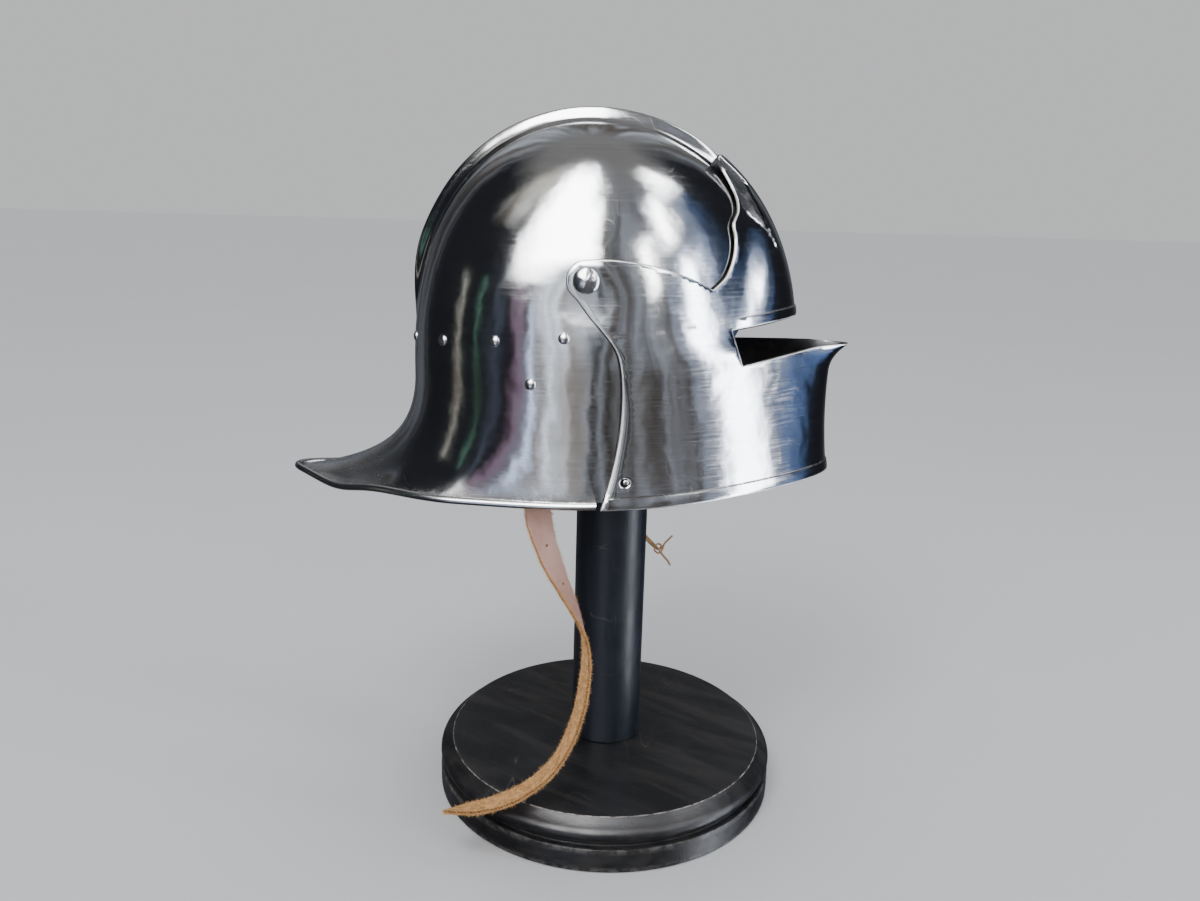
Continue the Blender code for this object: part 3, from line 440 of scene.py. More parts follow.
class Effect:
    """An effect that more than one finish uses, as a node group that is built once."""

    name = ""
    sizes: tuple[tuple[str, float], ...] = ()
    results: tuple[str, ...] = ("Mask",)

    def lay(self, shader: ShaderTree, start: Any) -> dict[str, Any]:
        """Lay out the nodes after the group's inputs, and name the socket behind each result."""
        raise NotImplementedError

    def group(self) -> NodeTree:
        """The group, built at its first use."""
        found = bpy.data.node_groups.get(self.name)
        if found:
            return found
        tree = bpy.data.node_groups.new(self.name, "ShaderNodeTree")
        face = tree.interface
        face.new_socket("Point", in_out="INPUT", socket_type="NodeSocketVector")
        for label, value in self.sizes:
            face.new_socket(label, in_out="INPUT", socket_type="NodeSocketFloat").default_value = value
        for label in self.results:
            face.new_socket(label, in_out="OUTPUT", socket_type="NodeSocketFloat")
        shader = ShaderTree(tree)
        start = shader.add("NodeGroupInput")
        end = tree.nodes.new("NodeGroupOutput")
        for label, socket in self.lay(shader, start).items():
            tree.links.new(socket, end.inputs[label])
        return tree

    def place(self, shader: ShaderTree, point: Any, **values: float) -> Any:
        """Put the group into a material, and return its results."""
        return shader.add("ShaderNodeGroup", {"Point": point, **values}, node_tree=self.group())


class PlanishedWaves(Effect):
    """Small swells that a planishing hammer and the polishing wheel leave."""

    name = "planished_waves"
    sizes = (("Scale", 40.0),)
    results = ("Height",)

    def lay(self, shader: ShaderTree, start: Any) -> dict[str, Any]:
        """Two sizes of swell, added."""
        point, scale = start["Point"], start["Scale"]
        broad = shader.noise(point, scale, 1.0, 0.4, 0.4)
        small = shader.noise(point, shader.times(scale, 3.1), 1.0, 0.4)
        return {"Height": shader.more(broad, small, 0.22)}


class PolishLines(Effect):
    """Fine level lines that a polishing belt leaves round a plate."""

    name = "polish_lines"
    sizes = (("Fineness", 1.0), ("Waver", 0.0015))
    results = ("Lines", "Streaks")

    def lay(self, shader: ShaderTree, start: Any) -> dict[str, Any]:
        """Noise drawn out along the level, fine and coarse."""
        point, fineness = start["Point"], start["Fineness"]
        waver = shader.times(shader.noise(point, 9.0, 1.0), start["Waver"])
        drift = shader.add("ShaderNodeCombineXYZ", {"Z": waver})[0]
        moved = shader.add("ShaderNodeVectorMath", {0: point, 1: drift}, operation="ADD")[0]
        fine = shader.stretch(moved, (30.0, 30.0, 1000.0))
        coarse = shader.stretch(moved, (7.0, 7.0, 620.0))
        return {"Lines": shader.noise(fine, fineness, 3.0, 0.65), "Streaks": shader.noise(coarse, fineness,
            2.0, 0.6)}


class HairScratches(Effect):
    """Hairline scratches that wander over a polished plate."""

    name = "hair_scratches"
    sizes = (("Scale", 26.0), ("Width", 0.006))

    def lay(self, shader: ShaderTree, start: Any) -> dict[str, Any]:
        """The middle line of three cloudy fields, each shown only in patches."""
        point = start["Point"]
        total: Any = 0.0
        for index, turn in enumerate(((0.4, 0.2, 0.0), (1.3, 0.5, 0.8), (2.2, 1.1, 1.9))):
            drawn = shader.stretch(point, (1.0, 0.16, 1.0), turn)
            field = shader.noise(drawn, start["Scale"], 1.0, 0.3, 0.3)
            off = shader.sum("ABSOLUTE", shader.minus(field, 0.5))
            line = shader.minus(1.0, shader.sum("DIVIDE", off, start["Width"]), clamp=True)
            cloud = shader.noise(shader.stretch(point, (1.0, 1.0, 1.0), turn), 17.0 + 6.0 * index)
            total = shader.sum("MAXIMUM", total, shader.times(line, shader.between(cloud, 0.52, 0.62)))
        return {"Mask": total}


class Specks(Effect):
    """Small round marks strewn thinly: pits in steel, dust on paint, nicks in leather."""

    name = "specks"
    sizes = (("Scale", 420.0), ("Share", 0.12), ("Size", 0.22))

    def lay(self, shader: ShaderTree, start: Any) -> dict[str, Any]:
        """One dot in some of the cells of a scattered grid."""
        cells = shader.add("ShaderNodeTexVoronoi", {"Vector": start["Point"], "Scale": start["Scale"]})
        dot = shader.minus(1.0, shader.sum("DIVIDE", cells["Distance"], start["Size"]), clamp=True)
        pick = shader.add("ShaderNodeSeparateColor", {"Color": cells["Color"]})[0]
        return {"Mask": shader.times(dot, shader.sum("LESS_THAN", pick, start["Share"]))}


class Smudges(Effect):
    """Broad cloudy patches where a surface is duller, paler or handled."""

    name = "smudges"
    sizes = (("Scale", 14.0),)

    def lay(self, shader: ShaderTree, start: Any) -> dict[str, Any]:
        """A noise with its middle spread wide."""
        field = shader.noise(start["Point"], start["Scale"], 5.0, 0.62, 0.5)
        return {"Mask": shader.between(field, 0.38, 0.68)}


class BrushStrokes(Effect):
    """Strokes of a paint brush, or the cut fibres of hide, along one direction."""

    name = "brush_strokes"
    sizes = (("Scale", 1.0),)
    results = ("Height", "Tone")

    def lay(self, shader: ShaderTree, start: Any) -> dict[str, Any]:
        """Stretched noise broken up by a broader one."""
        point, scale = start["Point"], start["Scale"]
        fine = shader.noise(shader.stretch(point, (40.0, 700.0, 700.0)), scale, 4.0, 0.6, 0.2)
        broad = shader.noise(shader.stretch(point, (9.0, 60.0, 60.0)), scale, 4.0, 0.6, 0.6)
        return {"Height": fine, "Tone": shader.between(broad, 0.40, 0.66)}


def shade(tone: Triple, share: float) -> Triple:
    """A darker tone of a colour."""
    return tuple(share * part for part in tone)


# Finishes


@dataclass(frozen=True)
class SteelFinish:
    """Steel brought up on a belt and a wheel, with what handling leaves on it, and painted shade and
    painted glints where asked for.
    """

    name: str
    gloss: float
    brushed: float
    waves: float = 1.0
    tone: Triple = (0.70, 0.71, 0.73)
    tail_dull: float = 0.0
    # Seam grime, and painted shade on the visor's edge faces, read from a layer on the piece.
    grime: bool = False
    # Worn edges, bare steel brightened further as a painted glint, read from a layer on the piece.
    wear: bool = False
    shaded_spot: tuple[float, ...] = ()
    spot_r: float = 0.0042

    def material(self) -> Material:
        """Build a metal whose gloss, colour and normal vary as a hand-polished plate's do."""
        shader = MaterialTree(self.name)
        point = shader.point
        lines = PolishLines().place(shader, point)
        smudge = Smudges().place(shader, point, Scale=11.0)["Mask"]
        hairs = HairScratches().place(shader, point, Width=0.0016)["Mask"]
        pits = Specks().place(shader, point, Scale=330.0, Share=0.05, Size=0.16)["Mask"]
        waves = PlanishedWaves().place(shader, point, Scale=34.0)["Height"]
        colour = shader.mix(shader.times(smudge, 0.10), self.tone, shade(self.tone, 0.80))
        streak = shader.between(lines["Streaks"], 0.35, 0.70)
        colour = shader.mix(shader.times(streak, 0.24 * self.brushed), colour, shade(self.tone, 0.72))
        rough = shader.more(self.gloss, smudge, 0.02)
        rough = shader.more(rough, shader.between(lines["Lines"], 0.3, 0.8), 0.10 * self.brushed)
        rough = shader.more(rough, hairs, 0.12)
        if self.tail_dull:
            rough, colour = self.dull_tail(shader, rough, colour)
        # Grime along seams; on the visor's edge faces the same darkening is painted shade.
        if self.grime:
            patch = shader.between(shader.noise(point, 160.0, 4.0, 0.7), 0.30, 0.55, 0.15, 1.0)
            dirt_and_shade = shader.times(shader.layer("grime"), patch, clamp=True)
            colour = shader.mix(dirt_and_shade, colour, (0.16, 0.15, 0.14))
            rough = shader.more(rough, dirt_and_shade, 0.25)
        if self.shaded_spot:
            away = shader.add("ShaderNodeVectorMath", {0: point, 1: self.shaded_spot},
                operation="DISTANCE")["Value"]
            spot = shader.between(away, self.spot_r, 0.7 * self.spot_r)
            colour = shader.mix(spot, colour, (0.02, 0.02, 0.022))
            rough = shader.more(rough, spot, 0.3)
        # Worn edges: bare steel, with a painted glint that makes them brighter still.
        if self.wear:
            patch = shader.between(shader.noise(point, 90.0, 3.0), 0.10, 0.5, 0.5, 1.0)
            worn_and_glint = shader.times(shader.between(shader.layer("wear"), 0.84, 0.97), patch)
            colour = shader.mix(worn_and_glint, colour, (0.90, 0.90, 0.90))
            rough = shader.more(rough, worn_and_glint, 0.30)
        colour = shader.mix(shader.times(pits, 0.5), colour, (0.10, 0.10, 0.10))
        normal = shader.bump(waves, 0.00050 * self.waves)
        brush = shader.more(lines["Lines"], lines["Streaks"], 1.6)
        normal = shader.bump(brush, 0.0000035 * self.brushed, normal)
        marks = shader.sum("MAXIMUM", shader.times(hairs, 0.3), pits)
        normal = shader.bump(shader.minus(1.0, marks), 0.000008, normal)
        return shader.surface(colour, rough, normal, 1.0)

    def dull_tail(self, shader: MaterialTree, rough: Any, colour: Any) -> tuple[Any, Any]:
        """Let the polish fade towards the tail.

        Args:
            shader: the material's tree.
            rough: the roughness so far.
            colour: the colour so far.

        Returns:
            The roughness and the colour with the tail's own.
        """
        parts = shader.add("ShaderNodeSeparateXYZ", {0: shader.point})
        back = shader.between(parts["X"], -0.150, -0.190)
        low = shader.between(parts["Z"], 0.330, 0.292)
        cloud = shader.between(shader.noise(shader.point, 55.0, 5.0, 0.65), 0.30, 0.62, 0.45, 1.0)
        tail = shader.times(shader.times(back, low), cloud)
        rough = shader.more(rough, tail, self.tail_dull)
        return rough, shader.mix(shader.times(tail, 0.5), colour, shade(self.tone, 0.72))


@dataclass(frozen=True)
class InnerSteel:
    """The helmet's unpolished inside: dark oiled steel with hammer marks."""

    tone: Triple = (0.20, 0.20, 0.21)

    def material(self) -> Material:
        """Build the material."""
        shader = MaterialTree("inner_steel")
        point = shader.point
        smudge = Smudges().place(shader, point, Scale=22.0)["Mask"]
        dents = shader.add("ShaderNodeTexVoronoi", {"Vector": point, "Scale": 70.0},
            feature="SMOOTH_F1")["Distance"]
        specks = Specks().place(shader, point, Scale=240.0, Share=0.2)["Mask"]
        colour = shader.mix(smudge, self.tone, shade(self.tone, 0.45))
        colour = shader.mix(shader.times(specks, 0.6), colour, (0.10, 0.06, 0.04))
        rough = shader.more(0.38, smudge, 0.18)
        return shader.surface(colour, rough, shader.bump(dents, 0.0006), 1.0)


class HideFace(Enum):
    """The faces of a leather strap, which look quite unlike each other."""

    GRAIN = 0
    FLESH = 1
    CUT = 2


@dataclass(frozen=True)
class StrapLeather:
    """Undyed vegetable-tanned leather on one of its faces."""

    face: HideFace

    def material(self) -> Material:
        """Build the material of this face."""
        shader = MaterialTree("strap_" + self.face.name.lower())
        return self.grain(shader) if self.face is HideFace.GRAIN else self.flesh(shader)

    def grain(self, shader: MaterialTree) -> Material:
        """Smooth pinkish tan skin with pores, creases and a few marks."""
        point = shader.point
        cells = shader.add("ShaderNodeTexVoronoi", {"Vector": point, "Scale": 1500.0},
            feature="DISTANCE_TO_EDGE")["Distance"]
        pores = shader.between(cells, 0.0, 0.16)
        folds = shader.noise(shader.stretch(point, (90.0, 90.0, 330.0)), 1.0, 3.0, 0.6, 0.8)
        creases = shader.between(folds, 0.40, 0.52)
        smudge = Smudges().place(shader, point, Scale=48.0)["Mask"]
        marks = Specks().place(shader, point, Scale=260.0, Share=0.07, Size=0.2)["Mask"]
        colour = shader.mix(smudge, (0.500, 0.300, 0.262), (0.380, 0.215, 0.180))
        colour = shader.mix(shader.minus(1.0, pores), colour, (0.50, 0.29, 0.21))
        colour = shader.mix(shader.times(marks, 0.6), colour, (0.30, 0.16, 0.10))
        normal = shader.bump(pores, 0.00005, shader.bump(creases, 0.00006))
        return shader.surface(colour, shader.more(0.44, smudge, 0.16), normal)

    def flesh(self, shader: MaterialTree) -> Material:
        """Rough orange-tan flesh side or cut edge, with a painted shadow line along the corner between
        them.
        """
        point = shader.point
        run = shader.add("ShaderNodeUVMap", uv_map="run")["UV"]
        if self.face is HideFace.CUT:
            pale, deep, shadow_line_at, half = (0.620, 0.335, 0.125), (0.310, 0.140, 0.045), 0.00185, 0.00075
        else:
            pale, deep, shadow_line_at, half = (0.690, 0.390, 0.160), (0.370, 0.175, 0.055), 0.0002, 0.00060
        nap = shader.noise(point, 620.0, 6.0, 0.8, 0.4)
        clumps = shader.noise(point, 230.0, 4.0, 0.7, 0.9)
        strokes = BrushStrokes().place(shader, run, Scale=1.0)
        colour = shader.mix(shader.between(clumps, 0.35, 0.65), deep, pale)
        colour = shader.mix(shader.between(nap, 0.52, 0.72), colour, (0.90, 0.58, 0.29))
        colour = shader.mix(shader.times(strokes["Tone"], 0.25), colour, deep)
        across = shader.add("ShaderNodeSeparateXYZ", {0: run})["Y"]
        drift = shader.noise(shader.stretch(run, (60.0, 0.0, 0.0)), 1.0, 2.0)
        waver = shader.times(shader.minus(drift, 0.5), 0.0006)
        off = shader.sum("ABSOLUTE", shader.minus(shader.plus(across, waver), shadow_line_at))
        line = shader.between(off, half, 0.4 * half)
        # Painted shadow line where the flesh side meets the cut edge.
        colour = shader.mix(shader.times(line, 0.85), colour, (0.11, 0.048, 0.02))
        height = shader.plus(shader.times(nap, 0.5), clumps)
        height = shader.minus(height, shader.times(line, 0.8))
        return shader.surface(colour, 0.92, shader.bump(height, 0.00110))


@dataclass(frozen=True)
class FibreFinish:
    """Loose fibres along the cut edges of the strap."""

    deep: Triple = (0.50, 0.25, 0.08)
    pale: Triple = (0.80, 0.52, 0.25)

    def material(self) -> Material:
        """Build the material."""
        shader = MaterialTree("strap_fibre")
        return shader.surface(shader.mix(shader.noise(shader.point, 400.0), self.deep, self.pale), 0.9)


@dataclass(frozen=True)
class ThongLeather:
    """Thin tan lace leather, darker in cloudy patches."""

    pale: Triple = (0.520, 0.320, 0.170)
    deep: Triple = (0.300, 0.165, 0.080)

    def material(self) -> Material:
        """Build the material."""
        shader = MaterialTree("thong_leather")
        strokes = BrushStrokes().place(shader, shader.point, Scale=0.8)
        smudge = Smudges().place(shader, shader.point, Scale=120.0)["Mask"]
        colour = shader.mix(smudge, self.pale, self.deep)
        colour = shader.mix(shader.times(strokes["Tone"], 0.4), colour, (0.62, 0.42, 0.25))
        return shader.surface(colour, 0.75, shader.bump(strokes["Height"], 0.00015))


@dataclass(frozen=True)
class BlackPaint:
    """Black paint brushed over turned wood."""

    name: str
    turn: Triple
    stroke_scale: float
    body: Triple
    thin: Triple
    haze: Triple
    thin_share: float
    rough: float
    stroke_depth: float
    grain_depth: float
    worn_edges: bool = False

    def material(self) -> Material:
        """Build the material of this piece."""
        shader = MaterialTree(self.name)
        point = shader.point
        strokes = BrushStrokes().place(shader, shader.stretch(point, (1.0, 1.0, 1.0), self.turn),
            Scale=self.stroke_scale)
        smudge = Smudges().place(shader, point, Scale=30.0)["Mask"]
        dust = Specks().place(shader, point, Scale=520.0, Share=0.06, Size=0.18)["Mask"]
        hairs = HairScratches().place(shader, point, Scale=30.0, Width=0.0016)["Mask"]
        colour = shader.mix(shader.times(strokes["Tone"], self.thin_share), self.body, self.thin)
        colour = shader.mix(shader.times(smudge, 0.35), colour, self.haze)
        marks = shader.sum("MAXIMUM", dust, hairs)
        colour = shader.mix(shader.times(marks, 0.35), colour, (0.16, 0.155, 0.15))
        if self.worn_edges:
            patch = shader.between(shader.noise(point, 130.0, 4.0, 0.7), 0.40, 0.60)
            worn_and_glint = shader.times(shader.layer("wear"), patch, clamp=True)
            colour = shader.mix(worn_and_glint, colour, (0.46, 0.43, 0.40))
        rough = shader.more(shader.more(self.rough, strokes["Height"], 0.26), smudge, 0.10)
        grain = shader.noise(shader.stretch(point, (12.0, 150.0, 150.0)), 1.0, 4.0, 0.6)
        normal = shader.bump(strokes["Height"], self.stroke_depth)
        return shader.surface(colour, rough, shader.bump(grain, self.grain_depth, normal))


# Shape trees


class ShapeTree(Tree):
    """A geometry node tree with named sizes, run once and kept as a plain mesh."""

    kinds = {"Geometry": "Geometry", "Sides": "Int", "Seed": "Int", "Head": "Object", "Finish": "Material"}

    def __init__(self, name: str, *sizes: str) -> None:
        """Start a tree.

        Args:
            name: the tree's name.
            sizes: the names of its own inputs, numbers unless kinds says otherwise.
        """
        super().__init__(bpy.data.node_groups.new(name, "GeometryNodeTree"))
        face = self.tree.interface
        for label in ("Geometry", *sizes, "Finish"):
            kind = "NodeSocket" + self.kinds.get(label, "Float")
            face.new_socket(label, in_out="INPUT", socket_type=kind)
        face.new_socket("Geometry", in_out="OUTPUT", socket_type="NodeSocketGeometry")
        self.start = self.add("NodeGroupInput")
        self.end = self.tree.nodes.new("NodeGroupOutput").inputs

    def close(self, geometry: NodeSocket) -> None:
        """End the tree: real geometry, in its finish."""
        real = self.add("GeometryNodeRealizeInstances", {"Geometry": geometry})
        made = self.add("GeometryNodeSetMaterial", {"Geometry": real["Geometry"],
            "Material": self.start["Finish"]})
        self.tree.links.new(made["Geometry"], self.end["Geometry"])

    def run(self, source: Object, name: str, sharp: float = 32.0, **values: Any) -> Object:
        """Run the tree on an object that it then does away with.

        Args:
            source: the path, points or mesh that the tree works on.
            name: the name of the piece.
            sharp: the angle in degrees past which an edge shows as sharp.
            values: the tree's inputs by name, with _ for a space.

        Returns:
            The piece, as a plain mesh at the origin.
        """
        modifier = source.modifiers.new("shape", "NODES")
        modifier.node_group = self.tree
        for item in self.tree.interface.items_tree:
            key = item.name.replace(" ", "_")
            if item.in_out == "INPUT" and key in values:
                modifier[item.identifier] = values[key]
        mesh = plain_copy(source)
        bpy.data.objects.remove(source)
        mesh.name = name
        return finished(name, mesh, sharp=sharp, merge=2e-6)


def sweep_tree() -> ShapeTree:
    """A rod of oval section along a path, with closed ends."""
    tree = ShapeTree("rod_along_path", "Radius", "Flatness", "Sides", "Tilt")
    path = tree.add("GeometryNodeMeshToCurve", {"Mesh": tree.start["Geometry"]})
    tilted = tree.add("GeometryNodeSetCurveTilt", {"Curve": path["Curve"], "Tilt": tree.start["Tilt"]})
    ring = tree.add("GeometryNodeCurvePrimitiveCircle", {"Resolution": tree.start["Sides"],
        "Radius": tree.start["Radius"]})
    scale = tree.add("ShaderNodeCombineXYZ", {"X": 1.0, "Y": tree.start["Flatness"], "Z": 1.0})
    oval = tree.add("GeometryNodeTransform", {"Geometry": ring["Curve"], "Scale": scale["Vector"]})
    rod = tree.add("GeometryNodeCurveToMesh", {"Curve": tilted["Curve"], "Profile Curve": oval["Geometry"],
        "Fill Caps": True})
    tree.close(rod["Mesh"])
    return tree


def revolve_tree() -> ShapeTree:
    """A turned solid from its profile, drawn as distance from the path and height."""
    tree = ShapeTree("turned_from_profile", "Path Radius", "Sides")
    profile = tree.add("GeometryNodeMeshToCurve", {"Mesh": tree.start["Geometry"]})
    ring = tree.add("GeometryNodeCurvePrimitiveCircle", {"Resolution": tree.start["Sides"],
        "Radius": tree.start["Path Radius"]})
    solid = tree.add("GeometryNodeCurveToMesh", {"Curve": ring["Curve"], "Profile Curve": profile["Curve"]})
    tree.close(solid["Mesh"])
    return tree


def rivet_tree() -> ShapeTree:
    """One head on each seat, along the seat's direction, each a little different."""
    tree = ShapeTree("heads_on_seats", "Head", "Spread", "Seed")
    way = tree.add("GeometryNodeInputNamedAttribute", {"Name": "way"}, data_type="FLOAT_VECTOR")
    turn = tree.add("FunctionNodeAlignRotationToVector", {"Vector": way["Attribute"]}, axis="Z")
    head = tree.add("GeometryNodeObjectInfo", {"Object": tree.start["Head"]})
    low = tree.add("ShaderNodeMath", {0: 1.0, 1: tree.start["Spread"]}, operation="SUBTRACT")
    size = tree.add("FunctionNodeRandomValue", {"Min": low[0], "Max": 1.0, "Seed": tree.start["Seed"]},
        data_type="FLOAT")
    placed = tree.add("GeometryNodeInstanceOnPoints", {"Points": tree.start["Geometry"],
        "Instance": head["Geometry"], "Rotation": turn["Rotation"], "Scale": size[1]})
    tree.close(placed["Instances"])
    return tree


def fibre_tree() -> ShapeTree:
    """Short fibres that stand out of a surface in all directions."""
    tree = ShapeTree("fibres_on_edge", "Density", "Length", "Thickness", "Seed")
    seed = tree.start["Seed"]
    spread = tree.add("GeometryNodeDistributePointsOnFaces", {"Mesh": tree.start["Geometry"],
        "Density": tree.start["Density"], "Seed": seed})
    fibre = tree.add("GeometryNodeMeshCone", {"Vertices": 3, "Radius Top": 0.0,
        "Radius Bottom": tree.start["Thickness"], "Depth": tree.start["Length"]})
    lean = tree.add("FunctionNodeRandomValue", {"Min": (-1.1, -1.1, -3.1), "Max": (1.1, 1.1, 3.1),
        "Seed": seed}, data_type="FLOAT_VECTOR")
    size = tree.add("FunctionNodeRandomValue", {"Min": 0.35, "Max": 1.0, "Seed": seed}, data_type="FLOAT")
    placed = tree.add("GeometryNodeInstanceOnPoints", {"Points": spread["Points"],
        "Instance": fibre["Mesh"], "Rotation": spread["Rotation"], "Scale": size[1]})
    leaned = tree.add("GeometryNodeRotateInstances", {"Instances": placed["Instances"], "Rotation": lean[0],
        "Local Space": True})
    tree.close(leaned["Instances"])
    return tree


# The skull's form


@dataclass(frozen=True)
class SkullForm:
    """The bowl: a dome over a level ellipse, then a flare down to the rim."""

    mid_x: float = -0.0200
    equator_z: float = 0.3400
    dome_h: float = 0.1855
    dome_power: float = 2.5
    dome_ease: float = 1.25
    equator_half_l: float = 0.13975
    equator_shift: float = 0.00675
    equator_half_w: float = 0.1085
    equator_v: float = 0.62
    front_pinch: float = 0.60
    front_pinch_power: float = 2.4
    rim_half_l: float = 0.18775
    rim_shift: float = -0.03775
    rim_half_w: float = 0.1126
    rim_z: float = 0.2673
    rim_slope: float = 0.028
    seam_power: int = 4
    flare_side_z: float = 0.3020
    flare_tail_z: float = 0.2706
    tip_pinch: float = 0.66
    tip_pinch_from: float = 0.45
    tip_pinch_power: float = 2.0
    flank_ease: float = 0.03
    tail_dip: float = 0.0070
    tail_dip_x: float = -0.2050
    tail_dip_w: float = 0.0280
    wall: float = 0.0020
    roll_r: float = 0.0026
    roll_out: float = 0.0006
    roll_end_x: float = -0.0125
    seam_up_side: float = 0.0051
    seam_up_tail: float = 0.0020
    comb_h: float = 0.0098
    comb_w: float = 0.0040
    comb_inner_h: float = 0.0040
    comb_back_fade: Pair = (0.3620, 0.4400)
    comb_front_fade: Pair = (0.4550, 0.5120)
    face_rim_x: float = 0.0400
    face_brow_v: float = 0.470
    face_bend: Pair = (0.30, 0.55)
    pivot_x: float = -0.0230
    pivot_z: float = 0.4200
    pivot_flat_r: float = 0.0240
    pivot_flat_tilt: float = 0.173

    def pivot_flat(self, x: Any, y: Any, z: Any) -> Any:
        """Sideways shift that eases the plates upright round the pivot."""
        reach = np.hypot(x - self.pivot_x, z - self.pivot_z) / self.pivot_flat_r
        return np.sign(y) * self.pivot_flat_tilt * (z - self.pivot_z) * np.exp(-reach ** 2)

    def rim_height(self, x: Any) -> Any:
        """Lowest level of the helmet at x, with the dip before the upturned tail tip."""
        dip = self.tail_dip * np.exp(-((x - self.tail_dip_x) / self.tail_dip_w) ** 2)
        return self.rim_z + self.rim_slope * x - dip

    def point(self, p: Any, q: Any) -> Array:
        """The outer skull over a unit disc.

        Args:
            p: forward on the disc.
            q: to the left on the disc; the radius is 1 at the rim.

        Returns:
            The points, one to each pair.
        """
        radius = np.hypot(p, q)
        fore = p / np.maximum(radius, 1e-9)
        side = q / np.maximum(radius, 1e-9)
        ahead = np.maximum(fore, 0.0)
        behind = np.maximum(-fore, 0.0)
        share = 1.0 - np.minimum(radius / self.equator_v, 1.0)
        angle = QUARTER * share ** self.dome_ease
        reach = np.cos(angle)
        rise = np.sin(angle) ** (2.0 / self.dome_power)
        pinch = 1.0 - self.front_pinch * ahead ** self.front_pinch_power * reach ** 2
        x = reach * self.equator_half_l * fore + self.equator_shift * (reach * fore) ** 2
        y = reach * self.equator_half_w * side * pinch
        z = self.equator_z + self.dome_h * rise
        s = np.maximum(radius - self.equator_v, 0.0) / (1.0 - self.equator_v)
        tip = np.maximum(behind - self.tip_pinch_from, 0.0) / (1.0 - self.tip_pinch_from)
        ease = self.flank_ease * smoothstep(behind / 0.4)
        rim_pinch = pinch * (1.0 - ease - self.tip_pinch * tip ** self.tip_pinch_power)
        rim_x = self.rim_half_l * fore + self.rim_shift * fore ** 2
        rim_y = self.rim_half_w * side * rim_pinch
        seam_up = (self.seam_up_side + (self.seam_up_tail - self.seam_up_side) * behind ** self.seam_power)
        rim_z = self.rim_height(self.mid_x + rim_x) + seam_up
        bend_z = self.flare_side_z + (self.flare_tail_z - self.flare_side_z) * behind ** 2
        keep = 1.0 - s ** 2
        x = self.mid_x + x * keep + rim_x * s ** 2
        y = y * keep + rim_y * s ** 2
        flare_z = (1 - s) ** 2 * self.equator_z + 2 * s * (1 - s) * bend_z + s ** 2 * rim_z
        z = np.where(s > 0.0, flare_z, z)
        y = y + self.pivot_flat(x, y, z)
        return np.stack((x, y, z), axis=-1)

    def normal(self, p: Any, q: Any) -> Array:
        """Outward unit normal of the skull."""
        return surface_normal(self.point, p, q)

    def at(self, x: float, z: float, side: Side) -> tuple[Array, Array]:
        """Find the skull at a place seen from the side.

        Args:
            x: forward.
            z: up.
            side: the side that it is seen from.

        Returns:
            The point and the outward normal.
        """
        radius = 0.6
        turn = QUARTER
        for _ in range(60):
            here = self.point(radius * math.cos(turn), radius * math.sin(turn))
            miss = np.array((x - here[0], z - here[2]))
            out, on = radius + 1e-5, turn + 1e-5
            dr = self.point(out * math.cos(turn), out * math.sin(turn)) - here
            dt = self.point(radius * math.cos(on), radius * math.sin(on)) - here
            slopes = np.stack((dr[[0, 2]], dt[[0, 2]]), axis=1) / 1e-5
            move = np.clip(np.linalg.solve(slopes, miss), -0.1, 0.1)
            radius = float(np.clip(radius + move[0], 0.05, 1.0))
            turn = float(np.clip(turn + move[1], 0.05, math.pi - 0.05))
        p = radius * math.cos(turn)
        q = radius * math.sin(turn)
        flip = np.array((1.0, side.value, 1.0))
        return self.point(p, q) * flip, self.normal(p, q) * flip

    def edge_path(self) -> Array:
        """Rim from the tail tip, then the face opening up to the brow, on the disc."""
        fore = np.linspace(-1.0, 1.0, 4001)
        rim_x = self.mid_x + self.rim_half_l * fore + self.rim_shift * fore ** 2
        last = float(np.interp(self.face_rim_x, rim_x, fore))
        turn = np.linspace(0.0, math.acos(-last), 600)
        rim = np.stack((-np.cos(turn), np.sin(turn)), axis=1)
        t = np.linspace(0.0, 1.0, 300)[1:, None]
        bend = np.array(self.face_bend)
        brow = np.array((self.face_brow_v, 0.0))
        face = (1 - t) ** 2 * rim[-1] + 2 * t * (1 - t) * bend + t ** 2 * brow
        return np.vstack((rim, face))

    def comb_height(self, x: Any, z: Any) -> Any:
        """Height of the comb over the skull at a place on the median."""
        back = ramp(z, *self.comb_back_fade)
        front = ramp(z, *self.comb_front_fade)
        return self.comb_h * np.where(x < self.mid_x, back, front)

    def rib_ends(self, back: int, front: int) -> tuple[Array, Array, Array]:
        """Lay out ribs from the median to the edge.

        Args:
            back: ribs over the rolled rim.
            front: ribs before it.

        Returns:
            Disc places of the inner and the outer ends, and which ribs carry the roll.
        """
        edge = self.edge_path()
        edge_run = run_length(self.point(edge[:, 0], edge[:, 1]))
        median_p = np.linspace(-1.0, self.face_brow_v, 900)
        median_run = run_length(self.point(median_p, np.zeros_like(median_p)))
        rim_x = self.point(edge[:600, 0], edge[:600, 1])[:, 0]
        roll_end = float(np.interp(self.roll_end_x, rim_x, edge_run[:600] / edge_run[-1]))
        pair = 0.0001 / edge_run[-1]
        shares = np.concatenate((np.linspace(0.0, roll_end - pair, back + 1), np.linspace(roll_end + pair,
            1.0, front + 1)))
        outer = resample(edge, edge_run, shares * edge_run[-1])
        inner_p = np.interp(shares * median_run[-1], median_run, median_p)
        inner = np.stack((inner_p, np.zeros_like(inner_p)), axis=1)
        return inner, outer, shares < roll_end


# The visor's form


